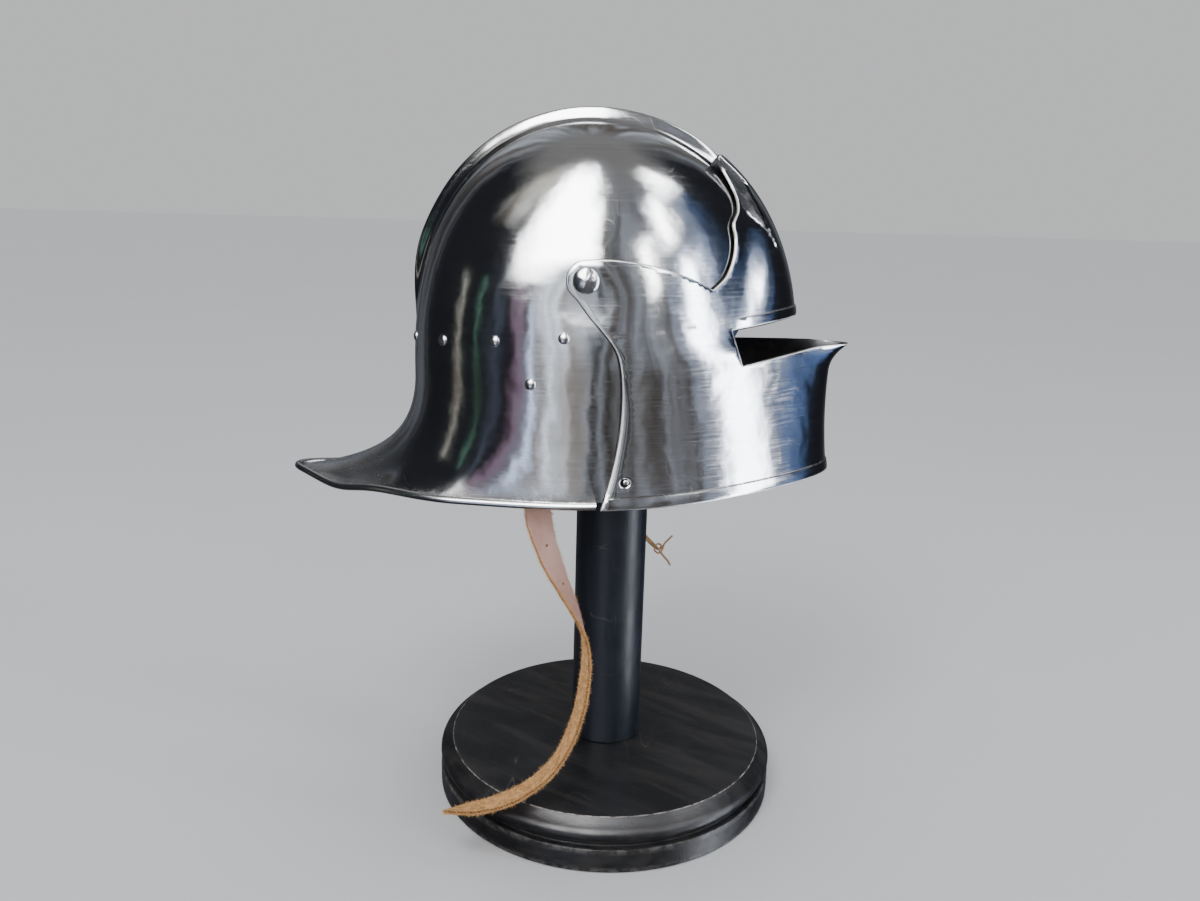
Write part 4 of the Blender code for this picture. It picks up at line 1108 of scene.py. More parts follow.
@dataclass(frozen=True)
class VisorForm:
    """The pivoted plate: a prowed bevor, the sight, and a forehead plate with an ogee edge."""

    skull: SkullForm
    wall: float = 0.0018
    standoff: float = 0.0032
    forehead_half_l: float = 0.1560
    forehead_h: float = 0.1950
    forehead_w_h: float = 0.1920
    bevor_half_l: float = 0.1817
    bevor_bow: float = 1.4
    bevor_bow_z: float = 0.3300
    bevor_flare_w: float = 0.0041
    bevor_flare_power: float = 2.18
    step_z: float = 0.3790
    step_half_side: float = 0.0300
    step_half_front: float = 0.0110
    prow_low: float = 0.43
    prow_lip: float = 0.66
    prow_brow: float = 0.50
    prow_top: float = 0.10
    prow_power: float = 1.5
    lip_tip: float = 0.0130
    lip_tip_from_z: float = 0.3480
    lip_tip_rise: float = 0.0220
    lip_tip_power: float = 2.4
    lip_tip_w: float = 0.0140
    flat_scale: float = 0.130
    lobe_r: float = 0.0135
    lobe_turn: Pair = (95.0, 232.0)
    sight_rear_low: Pair = (0.0874, 0.3620)
    sight_rear_high: Pair = (0.0795, 0.3850)
    sight_lip_front_z: float = 0.3700
    sight_lip_level_x: float = 0.1500
    sight_brow_front_z: float = 0.3904
    band_h: float = 0.0076
    band_proud: float = 0.0008
    band_roll: float = 0.0003
    hem_h: float = 0.0085
    hem_proud: float = 0.0007
    hem_roll: float = 0.0004
    bevel_w: float = 0.0050
    bevel_depth: float = 0.0011
    bevel_z: Pair = (0.3300, 0.3760)
    ogee_edge: Rows = (
        # forward, up: from the top corner down to the notch over the arm
        (0.0690, 0.5055), (0.0672, 0.5012), (0.0750, 0.4877), (0.0808, 0.4758),
        (0.0816, 0.4665), (0.0777, 0.4572), (0.0796, 0.4460), (0.0783, 0.4341),
        (0.0729, 0.4222), (0.0632, 0.4140),
    )
    arm_top: Rows = (
        # forward, up: from the notch back to the lobe
        (0.0459, 0.4225), (0.0238, 0.4297), (0.0005, 0.4335), (-0.0112, 0.4342),
    )
    rear_edge: Rows = (
        # forward, up: from the lobe down to the rim
        (-0.0284, 0.4066), (-0.0206, 0.3966), (-0.0077, 0.3824), (-0.0011, 0.3713),
        (0.0019, 0.3546), (0.0026, 0.3334), (0.0008, 0.3120), (-0.0039, 0.2879),
        (-0.0101, 0.2675),
    )

    def brow_share(self, u: Any, z: Any) -> Any:
        """0 on the bevor, 1 on the forehead, with a shelf between that narrows forward."""
        narrow = self.step_half_front - self.step_half_side
        half = self.step_half_side + narrow * smoothstep(u / 0.6)
        return smoothstep((z - self.step_z + half) / (2.0 * half))

    def half_length(self, u: Any, z: Any) -> Any:
        """Reach of the visor ahead of the middle at a level."""
        rise = np.clip((z - self.skull.equator_z) / self.forehead_h, 0.0, 1.0)
        dome = np.sqrt(np.maximum(1.0 - rise ** self.skull.dome_power, 1e-6))
        bevor = self.bevor_half_l + self.bevor_bow * (z - self.bevor_bow_z) ** 2
        return bevor + (self.forehead_half_l * dome - bevor) * self.brow_share(u, z)

    def point(self, turn: Any, z: Any) -> Array:
        """The outer visor.

        Args:
            turn: 0 at the side and a right angle at the front.
            z: the level.

        Returns:
            The points, one to each pair.
        """
        skull = self.skull
        u = np.sin(turn)
        width_rise = np.clip((z - skull.equator_z) / self.forehead_w_h, 0.0, 1.0)
        drop = (np.maximum(skull.equator_z - z, 0.0) / (skull.equator_z - skull.rim_z - skull.seam_up_side))
        half_width = ((skull.equator_half_w + self.standoff) * np.sqrt(np.maximum(1.0 - width_rise
            ** skull.dome_power, 1e-6)) + self.bevor_flare_w * drop ** self.bevor_flare_power)
        low = np.clip((z - skull.rim_z) / (self.sight_lip_front_z - skull.rim_z), 0.0, 1.2)
        bevor_prow = self.prow_low + (self.prow_lip - self.prow_low) * low ** self.prow_power
        rise = np.clip((z - skull.equator_z) / self.forehead_h, 0.0, 1.0)
        forehead_prow = self.prow_top + (self.prow_brow - self.prow_top) * (1.0 - rise ** 2)
        prow = bevor_prow + (forehead_prow - bevor_prow) * self.brow_share(u, z)
        y = half_width * np.cos(turn) * (1.0 - prow * u ** 2)
        x = skull.mid_x + self.half_length(u, z) * u
        tip = np.clip((z - self.lip_tip_from_z) / self.lip_tip_rise, 0.0, 1.0)
        tip = tip ** self.lip_tip_power * (z < self.step_z)
        x = x + self.lip_tip * tip * np.exp(-(y / self.lip_tip_w) ** 2)
        y = y + skull.pivot_flat(x, y, z)
        return np.stack((x, y, z + 0.0 * x), axis=-1)

    def normal(self, turn: Any, z: Any) -> Array:
        """Outward unit normal of the visor."""
        return -surface_normal(self.point, turn, z)

    def turn_at(self, x: Any, z: Any) -> Array:
        """Turn of the visor place seen from the side at x and z."""
        turn = np.full_like(np.asarray(x, dtype=float), 0.6)
        for _ in range(60):
            here = self.point(turn, z)[..., 0]
            slope = (self.point(turn + 1e-5, z)[..., 0] - here) / 1e-5
            turn = np.clip(turn + np.clip((x - here) / np.maximum(slope, 1e-3), -0.2, 0.2), -0.5, QUARTER)
        return turn

    def lip_height(self, x: Any) -> Any:
        """Level of the sight's lower lip at x."""
        rear_x, rear_z = self.sight_rear_low
        slope = (self.sight_lip_front_z - rear_z) / (self.sight_lip_level_x - rear_x)
        return rear_z + slope * (np.minimum(x, self.sight_lip_level_x) - rear_x)

    def brow_height(self, x: Any) -> Any:
        """Level of the sight's upper edge at x."""
        rear_x, rear_z = self.sight_rear_high
        front_x = self.skull.mid_x + self.forehead_half_l - 0.003
        slope = (self.sight_brow_front_z - rear_z) / (front_x - rear_x)
        return rear_z + slope * (x - rear_x)

    def spaced(self, places: Array, spacing: float) -> Array:
        """Surface places about spacing apart along a line of them."""
        run = run_length(self.point(places[:, 0], places[:, 1]))
        count = max(1, int(round(run[-1] / spacing)))
        return resample(places, run, np.linspace(0.0, run[-1], count + 1))

    def level_edge(self, height: Any, start_x: float, spacing: float, lift: float = 0.0) -> Array:
        """Visor places along an edge whose level follows height, rear to front."""
        start = float(self.turn_at(np.array(start_x), height(start_x) + lift))
        turns = np.linspace(start, QUARTER, 200)
        z = np.full_like(turns, height(start_x))
        for _ in range(30):
            z = height(self.point(turns, z + lift)[:, 0])
        return self.spaced(np.stack((turns, z + lift), axis=1), spacing)

    def side_edge(self, rows: Rows, spacing: float) -> Array:
        """Visor places along a curve drawn in side view."""
        curve = smooth_through(rows, 24)
        turns = self.turn_at(curve[:, 0], curve[:, 1])
        return self.spaced(np.stack((turns, curve[:, 1]), axis=1), spacing)

    def median_places(self, low: float, high: float, spacing: float) -> Array:
        """Visor places up the front ridge, between two levels."""
        z = np.linspace(low, high, 200)
        return self.spaced(np.stack((np.full_like(z, QUARTER), z), axis=1), spacing)

    def lobe_rows(self) -> Rows:
        """Side-view points round the back of the pivot lobe, top to bottom."""
        x, z, r = self.skull.pivot_x, self.skull.pivot_z, self.lobe_r
        turns = np.radians(np.linspace(*self.lobe_turn, 13))
        return tuple((x + r * math.cos(t), z + r * math.sin(t)) for t in turns)

    def outline(self, spacing: float) -> Array:
        """Closed line of visor places round the left half of the plate."""
        lobe_rows = self.lobe_rows()
        edge = self.side_edge(self.ogee_edge, spacing)
        edge[0] = (QUARTER, self.ogee_edge[0][1])
        arm = self.side_edge((self.ogee_edge[-1],) + self.arm_top + (lobe_rows[0],), spacing)
        lobe = self.side_edge(lobe_rows, min(spacing, 0.002))
        rear = self.side_edge((lobe_rows[-1],) + self.rear_edge, spacing)
        hem = self.level_edge(self.skull.rim_height, self.rear_edge[-1][0], spacing)
        hem[0] = rear[-1]
        lip = self.level_edge(self.lip_height, self.sight_rear_low[0], spacing)
        brow = self.level_edge(self.brow_height, self.sight_rear_high[0], spacing)
        chin = self.median_places(hem[-1][1], lip[-1][1], spacing)
        slit = self.side_edge((self.sight_rear_low, self.sight_rear_high), spacing)
        slit[0] = lip[0]
        forehead = self.median_places(brow[-1][1], self.ogee_edge[0][1], spacing)
        parts = (edge, arm, lobe, rear, hem, chin, lip[::-1], slit, brow, forehead)
        return np.vstack([part[:-1] for part in parts])

    def round_places(self, centre: Pair, radius: float, sides: int) -> Array:
        """Visor places round a hole seen from the side."""
        turns = 2.0 * math.pi * np.arange(sides) / sides
        x = centre[0] + radius * np.cos(turns)
        z = centre[1] + radius * np.sin(turns)
        return np.stack((self.turn_at(x, z), z), axis=1)

    def rear_x(self, z: Any) -> Any:
        """Where the rear edge is at a level."""
        rows = np.array(self.rear_edge)[::-1]
        curve = smooth_through([tuple(row) for row in rows], 24)
        return np.interp(z, curve[:, 1], curve[:, 0])

    def bevel_width(self, z: Any) -> Any:
        """Width of the bevelled strip beside the rear edge."""
        low, high = self.bevel_z
        return self.bevel_w * smoothstep((high - z) / (high - low))

    def relief(self, turn: Any, z: Any) -> Array:
        """How far the brow band, the hem and the rear bevel stand out of the plate."""
        x = self.point(turn, z)[..., 0]
        over_brow = z - self.brow_height(x)
        band = ((over_brow > -1e-4) & (over_brow < self.band_h)) * smoothstep((x - self.sight_rear_high[0]
            - 0.001) / 0.012)
        over_rim = z - self.skull.rim_height(x)
        hem = over_rim < self.hem_h
        width = self.bevel_width(z)
        share = np.clip(1.0 - (x - self.rear_x(z)) / np.maximum(width, 1e-5), 0.0, 1.0)
        bevel = self.bevel_depth * share * (width / self.bevel_w) * (z < self.bevel_z[1]) * ~hem
        bulge = 1.0 - (2.0 * np.clip(over_rim / self.hem_h, 0.0, 1.0) - 1.0) ** 2
        roll = 1.0 - (2.0 * np.clip(over_brow / self.band_h, 0.0, 1.0) - 1.0) ** 2
        return (band * (self.band_proud + self.band_roll * roll) + hem * (self.hem_proud + self.hem_roll
            * bulge) - bevel)


def inside(loop: Array, points: Array) -> Array:
    """Which points lie inside a closed loop."""
    result = np.zeros(len(points), dtype=bool)
    for (ax, ay), (bx, by) in zip(loop, np.roll(loop, -1, axis=0)):
        if ay == by:
            continue
        crosses = (ay > points[:, 1]) != (by > points[:, 1])
        reach = (bx - ax) * (points[:, 1] - ay) / (by - ay) + ax
        result ^= crosses & (points[:, 0] < reach)
    return result


def clearance(lines: Iterable[tuple[Array, Array]], points: Array) -> Array:
    """Distance from each point to the nearest of the line pieces."""
    nearest = np.full(len(points), np.inf)
    for start, end in lines:
        along = end - start
        share = np.clip(((points - start) @ along) / max(along @ along, 1e-18), 0.0, 1.0)
        gap = np.linalg.norm(points - (start + share[:, None] * along), axis=1)
        nearest = np.minimum(nearest, gap)
    return nearest


# Sub-assemblies


@dataclass
class Skull:
    """The helmet's bowl with its comb and tail, and the rolled rim round it."""

    form: SkullForm
    outside: Material
    interior: Material
    rim: Material
    ribs_back: int = 120
    ribs_front: int = 62
    columns: int = 58
    edge_round: float = 0.0003
    wave_depth: float = 0.00016
    roll_lap: float = 0.0012
    grime_reach: float = 0.0045
    calm_reach: float = 0.02
    comb_steps: tuple[float, ...] = (0.0, 0.0004, 0.0008, 0.0013, 0.0019, 0.0026, 0.0034, 0.0043, 0.0054,
        0.0068, 0.0086)

    def rib(self, start: Array, end: Array, rolled: bool) -> tuple[Array, Array, Array]:
        """One rib of the left half.

        Args:
            start: its end on the median, on the disc.
            end: its end on the rim or the face opening.
            rolled: whether it ends in the rolled rim.

        Returns:
            The points from the outer median round the edge to the inner median, their
            distance from the edge, and the middle of the roll.
        """
        form = self.form
        line = start + (end - start) * np.linspace(0.0, 1.0, 200)[:, None]
        run = run_length(form.point(line[:, 0], line[:, 1]))
        steps = np.array(self.comb_steps)
        shared = run[-1] * np.arange(self.columns + 1) / self.columns
        first = min(steps[-1], shared[len(steps) - 1])
        plain = np.linspace(first, run[-1] - (0.0 if rolled else self.edge_round), self.columns + 2
            - len(steps))
        places = np.concatenate((np.minimum(steps, shared[:len(steps)]), plain[1:]))
        here = resample(line, run, places)
        outer = form.point(here[:, 0], here[:, 1])
        normal = form.normal(here[:, 0], here[:, 1])
        inner = outer - normal * form.wall
        comb = form.comb_height(outer[0, 0], outer[0, 2])
        lift = normal[0] * np.array((1.0, 0.0, 1.0))
        away = outer[:, 1] / form.comb_w
        outer = outer + lift * (comb * np.exp(-np.abs(away) ** 1.9))[:, None]
        hollow = form.comb_inner_h * comb / form.comb_h * np.exp(-(1.4 * away) ** 2)
        inner = inner + lift * hollow[:, None]
        outer[0, 1] = 0.0
        inner[:, 1] = np.maximum(inner[:, 1], 0.0)
        inner[0, 1] = 0.0
        seam = form.point(end[0], end[1])
        out = form.normal(end[0], end[1])
        middle, down = self.roll_middle(end, seam, out)
        if rolled:
            edge = np.stack((seam + down * self.roll_lap, middle - out * (form.roll_r - 0.0002)))
            edge = np.vstack((edge[:1], edge[:1], edge[1:], edge[1:]))
        else:
            gap = self.edge_round
            edge = np.stack((seam - out * gap, seam - out * 0.5 * form.wall, seam - out * (form.wall - gap),
                inner[-1]))
        points = np.vstack((outer, edge, inner[::-1]))
        beside = np.concatenate((run[-1] - places, np.zeros(len(edge)), (run[-1] - places)[::-1]))
        return points, beside, middle

    def roll_middle(self, place: Array, seam: Array, out: Array) -> tuple[Array, Array]:
        """The middle of the rolled rim below a seam point, and the way down to it."""
        form = self.form
        step = 1e-4
        radial = unit(place)
        around = np.array((-radial[1], radial[0]))
        down = form.point(*(place + radial * step)) - form.point(*(place - radial * step))
        along = unit(form.point(*(place + around * step)) - form.point(*(place - around * step)))
        down = unit(down - along * np.dot(down, along))
        drop = math.sqrt(form.roll_r ** 2 - form.roll_out ** 2)
        return seam + down * drop + out * form.roll_out, down

    def build(self) -> None:
        """Build and dress the bowl and the rolled rim."""
        starts, ends, rolled = self.form.rib_ends(self.ribs_back, self.ribs_front)
        rows, beside, middles = [], [], []
        for start, end, has_roll in zip(starts, ends, rolled):
            points, near, middle = self.rib(start, end, bool(has_roll))
            rows.append(points)
            beside.append(near)
            if has_roll:
                middles.append(middle)
        grid = np.array(rows)
        grid[0, :, 1] = 0.0
        grid[-1, :, 1] = 0.0
        self.build_bowl(grid, np.array(beside), int(np.sum(rolled)))
        self.build_rim(np.array(middles))

    def build_bowl(self, grid: Array, beside: Array, rolled: int) -> None:
        """Join the two halves of the bowl.

        Args:
            grid: rows of points of the left half.
            beside: the distance of each point from the edge.
            rolled: how many of the rows end in the roll.
        """
        count, width = grid.shape[:2]
        half = grid.reshape(-1, 3)
        faces = grid_faces(count, width)
        shift = count * width
        both = faces + [tuple(index + shift for index in face[::-1]) for face in faces]
        points = np.vstack((half, half * MIRROR))
        calm = smoothstep(np.tile(beside.ravel(), 2) / self.calm_reach)
        middle = (self.form.mid_x, 0.0, self.form.equator_z)
        points = waved(points, middle, self.wave_depth, calm)
        points[np.abs(np.vstack((half, half))[:, 1]) < 1e-9, 1] = 0.0
        column = np.array([face[0] % width for face in faces])
        slots = np.tile((column > self.columns + 2).astype(int), 2)
        near_roll = np.exp(-beside / self.grime_reach)
        near_roll[rolled:] = 0.0
        near_roll[:, self.columns + 3:] = 0.0
        piece = make_mesh("skull_bowl", points, both, (self.outside, self.interior), slots, sharp=38.0,
            grime=np.tile(near_roll.ravel(), 2))
        dress(piece, Body.STAND, Slot.STEEL, "skull")

    def build_rim(self, middles: Array) -> None:
        """Sweep the rolled rim from the right end round the tail to the left end."""
        left = middles.copy()
        left[0, 1] = 0.0
        path = np.vstack((left[::-1], left[1:] * MIRROR))
        piece = sweep_tree().run(line_mesh("rim_path", path), "skull_rolled_rim", Radius=self.form.roll_r,
            Flatness=1.0, Sides=20, Tilt=0.0, Finish=self.rim)
        dress(piece, Body.STAND, Slot.STEEL)


@dataclass
class Visor:
    """The pivoted visor plate, cut with its pivot holes and the catch's hole."""

    form: VisorForm
    outside: Material
    interior: Material
    spacing: float = 0.0027
    pivot_hole_r: float = 0.0030
    catch_hole_r: float = 0.0027
    hole_sides: int = 20
    chamfer: float = 0.0006
    wall_slant: float = 0.0005
    wave_depth: float = 0.00014
    wall_lap: float = 0.0003
    seam_w: float = 0.0008
    seam_slack: float = 0.0001
    band_seam: float = 0.8
    # Painted shade on the plate's edge faces, for the dark gap beside the bowl.
    wall_dirt: float = 4.0
    hem_guide_start: float = 0.0062
    band_guide_start: float = 0.0016
    bevel_guide_ends: Pair = (0.0022, 0.018)
    bevel_guide_step: float = 0.0025
    settle_gap: float = 0.0014
    settle_reach: float = 0.060
    settle_front: Pair = (0.085, 0.120)
    settle_facing: Pair = (0.30, 0.60)

    def seat(self) -> BVHTree:
        """The bowl with its comb, grown by the plate's wall, for the plate to lie on."""
        form, size = self.form.skull, 150
        radius, turn = np.meshgrid(np.linspace(0.001, 1.0, size), np.linspace(0.0, math.pi, size),
            indexing="ij")
        p, q = radius * np.cos(turn), radius * np.sin(turn)
        points, normal = form.point(p, q), form.normal(p, q)
        comb = (form.comb_height(points[..., 0], points[..., 2])
            * np.exp(-np.abs(points[..., 1] / form.comb_w) ** 1.9))
        grown = points + normal * (self.form.wall + self.settle_gap + comb)[..., None]
        faces = [tuple(int(i) for i in face) for face in grid_faces(size, size)]
        return BVHTree.FromPolygons([Vector(p) for p in grown.reshape(-1, 3)], faces)

    def settled(self, turn: Array, z: Array, seat: BVHTree) -> Array:
        """Places on the plate, drawn in beside its upper rear edge to lie on the bowl.

        Args:
            turn: the places' turns, left half.
            z: their levels.
            seat: what the plate lies on.

        Returns:
            The places, moved sideways only.
        """
        points = self.form.point(turn, z)
        edge = smooth_through(self.form.ogee_edge[1:] + self.form.arm_top, 6)
        lines = list(zip(edge[:-1], edge[1:]))
        share = 1.0 - smoothstep(clearance(lines, points[:, [0, 2]]) / self.settle_reach)
        share *= 1.0 - ramp(points[:, 0], *self.settle_front)
        share *= ramp(self.form.normal(turn, z)[:, 1], *self.settle_facing)
        moved = points.copy()
        for index in np.flatnonzero(share > 1e-3):
            x, y, z = points[index]
            hit = seat.ray_cast(Vector((x, 0.2, z)), Vector((0.0, -1.0, 0.0)))[0]
            if hit is not None and hit.y < y:
                moved[index, 1] += (hit.y - y) * share[index]
        return moved

    def inset(self, loop: Array, hole: bool, distance: float) -> Array:
        """Move a loop into the plate.

        Args:
            loop: flat places round the outline, or round a hole.
            hole: whether the loop is a hole's.
            distance: how far it moves.

        Returns:
            The moved loop; points on the median stay on it.
        """
        before = loop - np.roll(loop, 1, axis=0)
        after = np.roll(loop, -1, axis=0) - loop
        median = loop[:, 0] > QUARTER * self.form.flat_scale - 1e-7
        on_before = median & np.roll(median, 1)
        on_after = median & np.roll(median, -1)
        move = np.zeros_like(loop)
        for step, skip in ((before, on_before), (after, on_after)):
            size = np.maximum(np.linalg.norm(step, axis=1, keepdims=True), 1e-12)
            side = np.stack((-step[:, 1], step[:, 0]), axis=1) / size
            move += side * ~skip[:, None]
        turning = np.sum(loop[:, 0] * np.roll(loop[:, 1], -1) - np.roll(loop[:, 0], -1) * loop[:, 1])
        sign = math.copysign(1.0, turning) * (-1.0 if hole else 1.0)
        size = np.linalg.norm(move, axis=1, keepdims=True)
        move = np.where(size > 1e-6, move / np.maximum(size, 1e-6), 0.0) * sign
        move[median, 0] = 0.0
        move[on_before & on_after] = 0.0
        return loop + move * distance

    def guides(self, scale: Array) -> list[Array]:
        """Flat lines that the mesh has to follow: the steps of the bands and the bevel."""
        form = self.form
        lines = []
        hem = (form.skull.rim_height, form.rear_edge[-1][0] + self.hem_guide_start, form.hem_h)
        band = (form.brow_height, form.sight_rear_high[0] + self.band_guide_start, form.band_h)
        for height, start, top in (hem, band):
            for lift in (0.35 * top, 0.7 * top, top - 0.0003, top + 0.0001, top + 0.0006, top + 0.0013):
                lines.append(form.level_edge(height, start, self.spacing, lift)[:-1] * scale)
        low, high = self.bevel_guide_ends
        z = np.arange(form.rear_edge[-1][1] + form.hem_h + low, form.bevel_z[1] - high,
            self.bevel_guide_step)
        x = form.rear_x(z) + form.bevel_width(z)
        lines.append(np.stack((form.turn_at(x, z), z), axis=1) * scale)
        return lines

    def half(self, holes: Sequence[tuple[Pair, float]]) -> tuple[Array, Faces, list[int], Array, Array]:
        """The plate's left half.

        Args:
            holes: side-view centre and radius of each hole.

        Returns:
            Points, faces, the slot of each face, and each point's edge wear with painted glint, and its
            seam dirt with painted edge shade.
        """
        form = self.form
        scale = np.array((form.flat_scale, 1.0))
        rings = [form.outline(self.spacing) * scale]
        rings += [form.round_places(centre, radius, self.hole_sides) * scale for centre, radius in holes]
        depth = self.chamfer + self.wall_slant
        insets = [self.inset(ring, index > 0, depth) for index, ring in enumerate(rings)]
        points: list[Array] = []
        edges: list[tuple[int, int]] = []
        for line, closed in [(ring, True) for ring in insets] + [(g, False) for g in self.guides(scale)]:
            first, count = len(points), len(line)
            points.extend(line)
            pairs = range(count if closed else count - 1)
            edges.extend((first + i, first + (i + 1) % count) for i in pairs)
        lines = [(np.array(points[a]), np.array(points[b])) for a, b in edges]
        field = self.field(insets)
        field = field[clearance(lines, field) > 0.5 * self.spacing]
        points.extend(field)
        flat = [Vector((float(s), float(z))) for s, z in points]
        result = delaunay_2d_cdt(flat, edges, [], 0, 1e-7)
        verts = np.array([tuple(v) for v in result[0]])
        triangles = np.array([tuple(face) for face in result[2]])
        middle = verts[triangles].mean(axis=1)
        keep = inside(insets[0], middle)
        for hole in insets[1:]:
            keep &= ~inside(hole, middle)
        return self.skins(verts, triangles[keep], rings, insets)

    def field(self, loops: Sequence[Array]) -> Array:
        """Points of a triangular lattice inside the outline and outside the holes."""
        low, high = loops[0].min(axis=0), loops[0].max(axis=0)
        rows = []
        for index, z in enumerate(np.arange(low[1], high[1], self.spacing * math.sqrt(0.75))):
            across = np.arange(low[0] + 0.5 * self.spacing * (index % 2), high[0], self.spacing)
            rows.append(np.stack((across, np.full_like(across, z)), axis=1))
        field = np.vstack(rows)
        keep = inside(loops[0], field)
        for hole in loops[1:]:
            keep &= ~inside(hole, field)
        return field[keep]

    def skins(self, verts: Array, triangles: Array, rings: Sequence[Array],
            insets: Sequence[Array]) -> tuple[Array, Faces, list[int], Array, Array]:
        """Give the flat mesh its two skins and its chamfered edges.

        Args:
            verts: flat places.
            triangles: the faces between them.
            rings: the true outline and holes.
            insets: the same loops, moved into the plate.

        Returns:
            Points, faces, the slot of each face, and each point's edge wear with painted glint, and its
            seam dirt with painted edge shade.
        """
        form = self.form
        turn, z = verts[:, 0] / form.flat_scale, verts[:, 1]
        seat = self.seat()
        base, normal = self.settled(turn, z, seat), form.normal(turn, z)
        outer = base + normal * form.relief(turn, z)[:, None]
        inner = base - normal * form.wall
        median = turn > QUARTER - 1e-6
        count = len(verts)
        points = [outer, inner]
        over_rim = z - form.skull.rim_height(base[:, 0]) - form.hem_h
        over_brow = z - form.brow_height(base[:, 0]) - form.band_h
        seam = ((over_rim > -self.seam_slack) & (over_rim < self.seam_w)) * 1.0
        seam += ((over_brow > -self.seam_slack) & (over_brow < self.seam_w)) * self.band_seam
        near, dirt_and_shade = [np.zeros(count), np.zeros(count)], [seam, np.zeros(count)]
        faces = [tuple(t) for t in triangles] + [tuple(t[::-1] + count) for t in triangles]
        slots = [0] * len(triangles) + [1] * len(triangles)
        total = 2 * count
        for ring, loop in zip(rings, insets):
            nearest = np.array([int(np.argmin(np.sum((verts - place) ** 2, axis=1))) for place in loop])
            t, h = (self.inset(ring, ring is not rings[0], self.wall_slant)
                / np.array((form.flat_scale, 1.0))).T
            proud = form.relief(verts[nearest, 0] / form.flat_scale, verts[nearest, 1])
            top = (self.settled(t, h, seat) + form.normal(t, h) * (proud - 0.6 * self.chamfer)[:, None])
            t, h = ring[:, 0] / form.flat_scale, ring[:, 1]
            low = self.settled(t, h, seat) - form.normal(t, h) * (form.wall - self.wall_lap)
            size = len(ring)
            points += [top, low]
            # The outline's chamfer is marked for bare worn steel with a painted glint; holes and the median
            # are not.
            bright = 1.0 if ring is rings[0] else 0.0
            near[0][nearest] = bright * ~median[nearest]
            near += [np.full(size, bright) * ~median[nearest], np.zeros(size)]
            # The lower ring of the edge faces gets painted shade, the dark line of the gap beside the bowl.
            dirt_and_shade += [np.zeros(size), np.full(size, self.wall_dirt)]
            for i in range(size):
                j = (i + 1) % size
                if median[nearest[i]] and median[nearest[j]]:
                    continue
                a, b = int(nearest[i]), int(nearest[j])
                upper, lower = (total + i, total + j), (total + size + i, total + size + j)
                faces += [(a, b, upper[1], upper[0]), (upper[0], upper[1], lower[1], lower[0]),
                    (lower[0], lower[1], b + count, a + count)]
                slots += [0, 0, 0]
            total += 2 * size
        cloud = np.vstack(points)
        on_median = [median, median]
        for ring in rings:
            on_median += [ring[:, 0] > QUARTER * form.flat_scale - 1e-7] * 2
        cloud[np.concatenate(on_median), 1] = 0.0
        cloud[:, 1] = np.maximum(cloud[:, 1], 0.0)
        return cloud, faces, slots, np.concatenate(near), np.concatenate(dirt_and_shade)

    def build(self) -> None:
        """Build both halves, join them and dress the plate."""
        pivot = ((self.form.skull.pivot_x, self.form.skull.pivot_z), self.pivot_hole_r)
        catch = (CATCH, self.catch_hole_r)
        points, faces, slots, near, dirt_and_shade = [], [], [], [], []
        total = 0
        for side, holes in ((Side.LEFT, (pivot,)), (Side.RIGHT, (pivot, catch))):
            cloud, patch, patch_slots, beside, seam_dirt_and_shade = self.half(holes)
            points.append(cloud * np.array((1.0, side.value, 1.0)))
            faces += [tuple(index + total for index in (face if side is Side.LEFT else face[::-1]))
                for face in patch]
            slots += patch_slots
            near.append(beside)
            dirt_and_shade.append(seam_dirt_and_shade)
            total += len(cloud)
        cloud = np.vstack(points)
        median = np.abs(cloud[:, 1]) < 1e-9
        skull = self.form.skull
        cloud = waved(cloud, (skull.mid_x, 0.0, skull.equator_z), self.wave_depth)
        cloud[median, 1] = 0.0
        piece = make_mesh("visor_plate", cloud, faces, (self.outside, self.interior), slots, sharp=38.0,
            wear=np.concatenate(near), grime=np.concatenate(dirt_and_shade))
        dress(piece, Body.VISOR, Slot.STEEL, "visor")


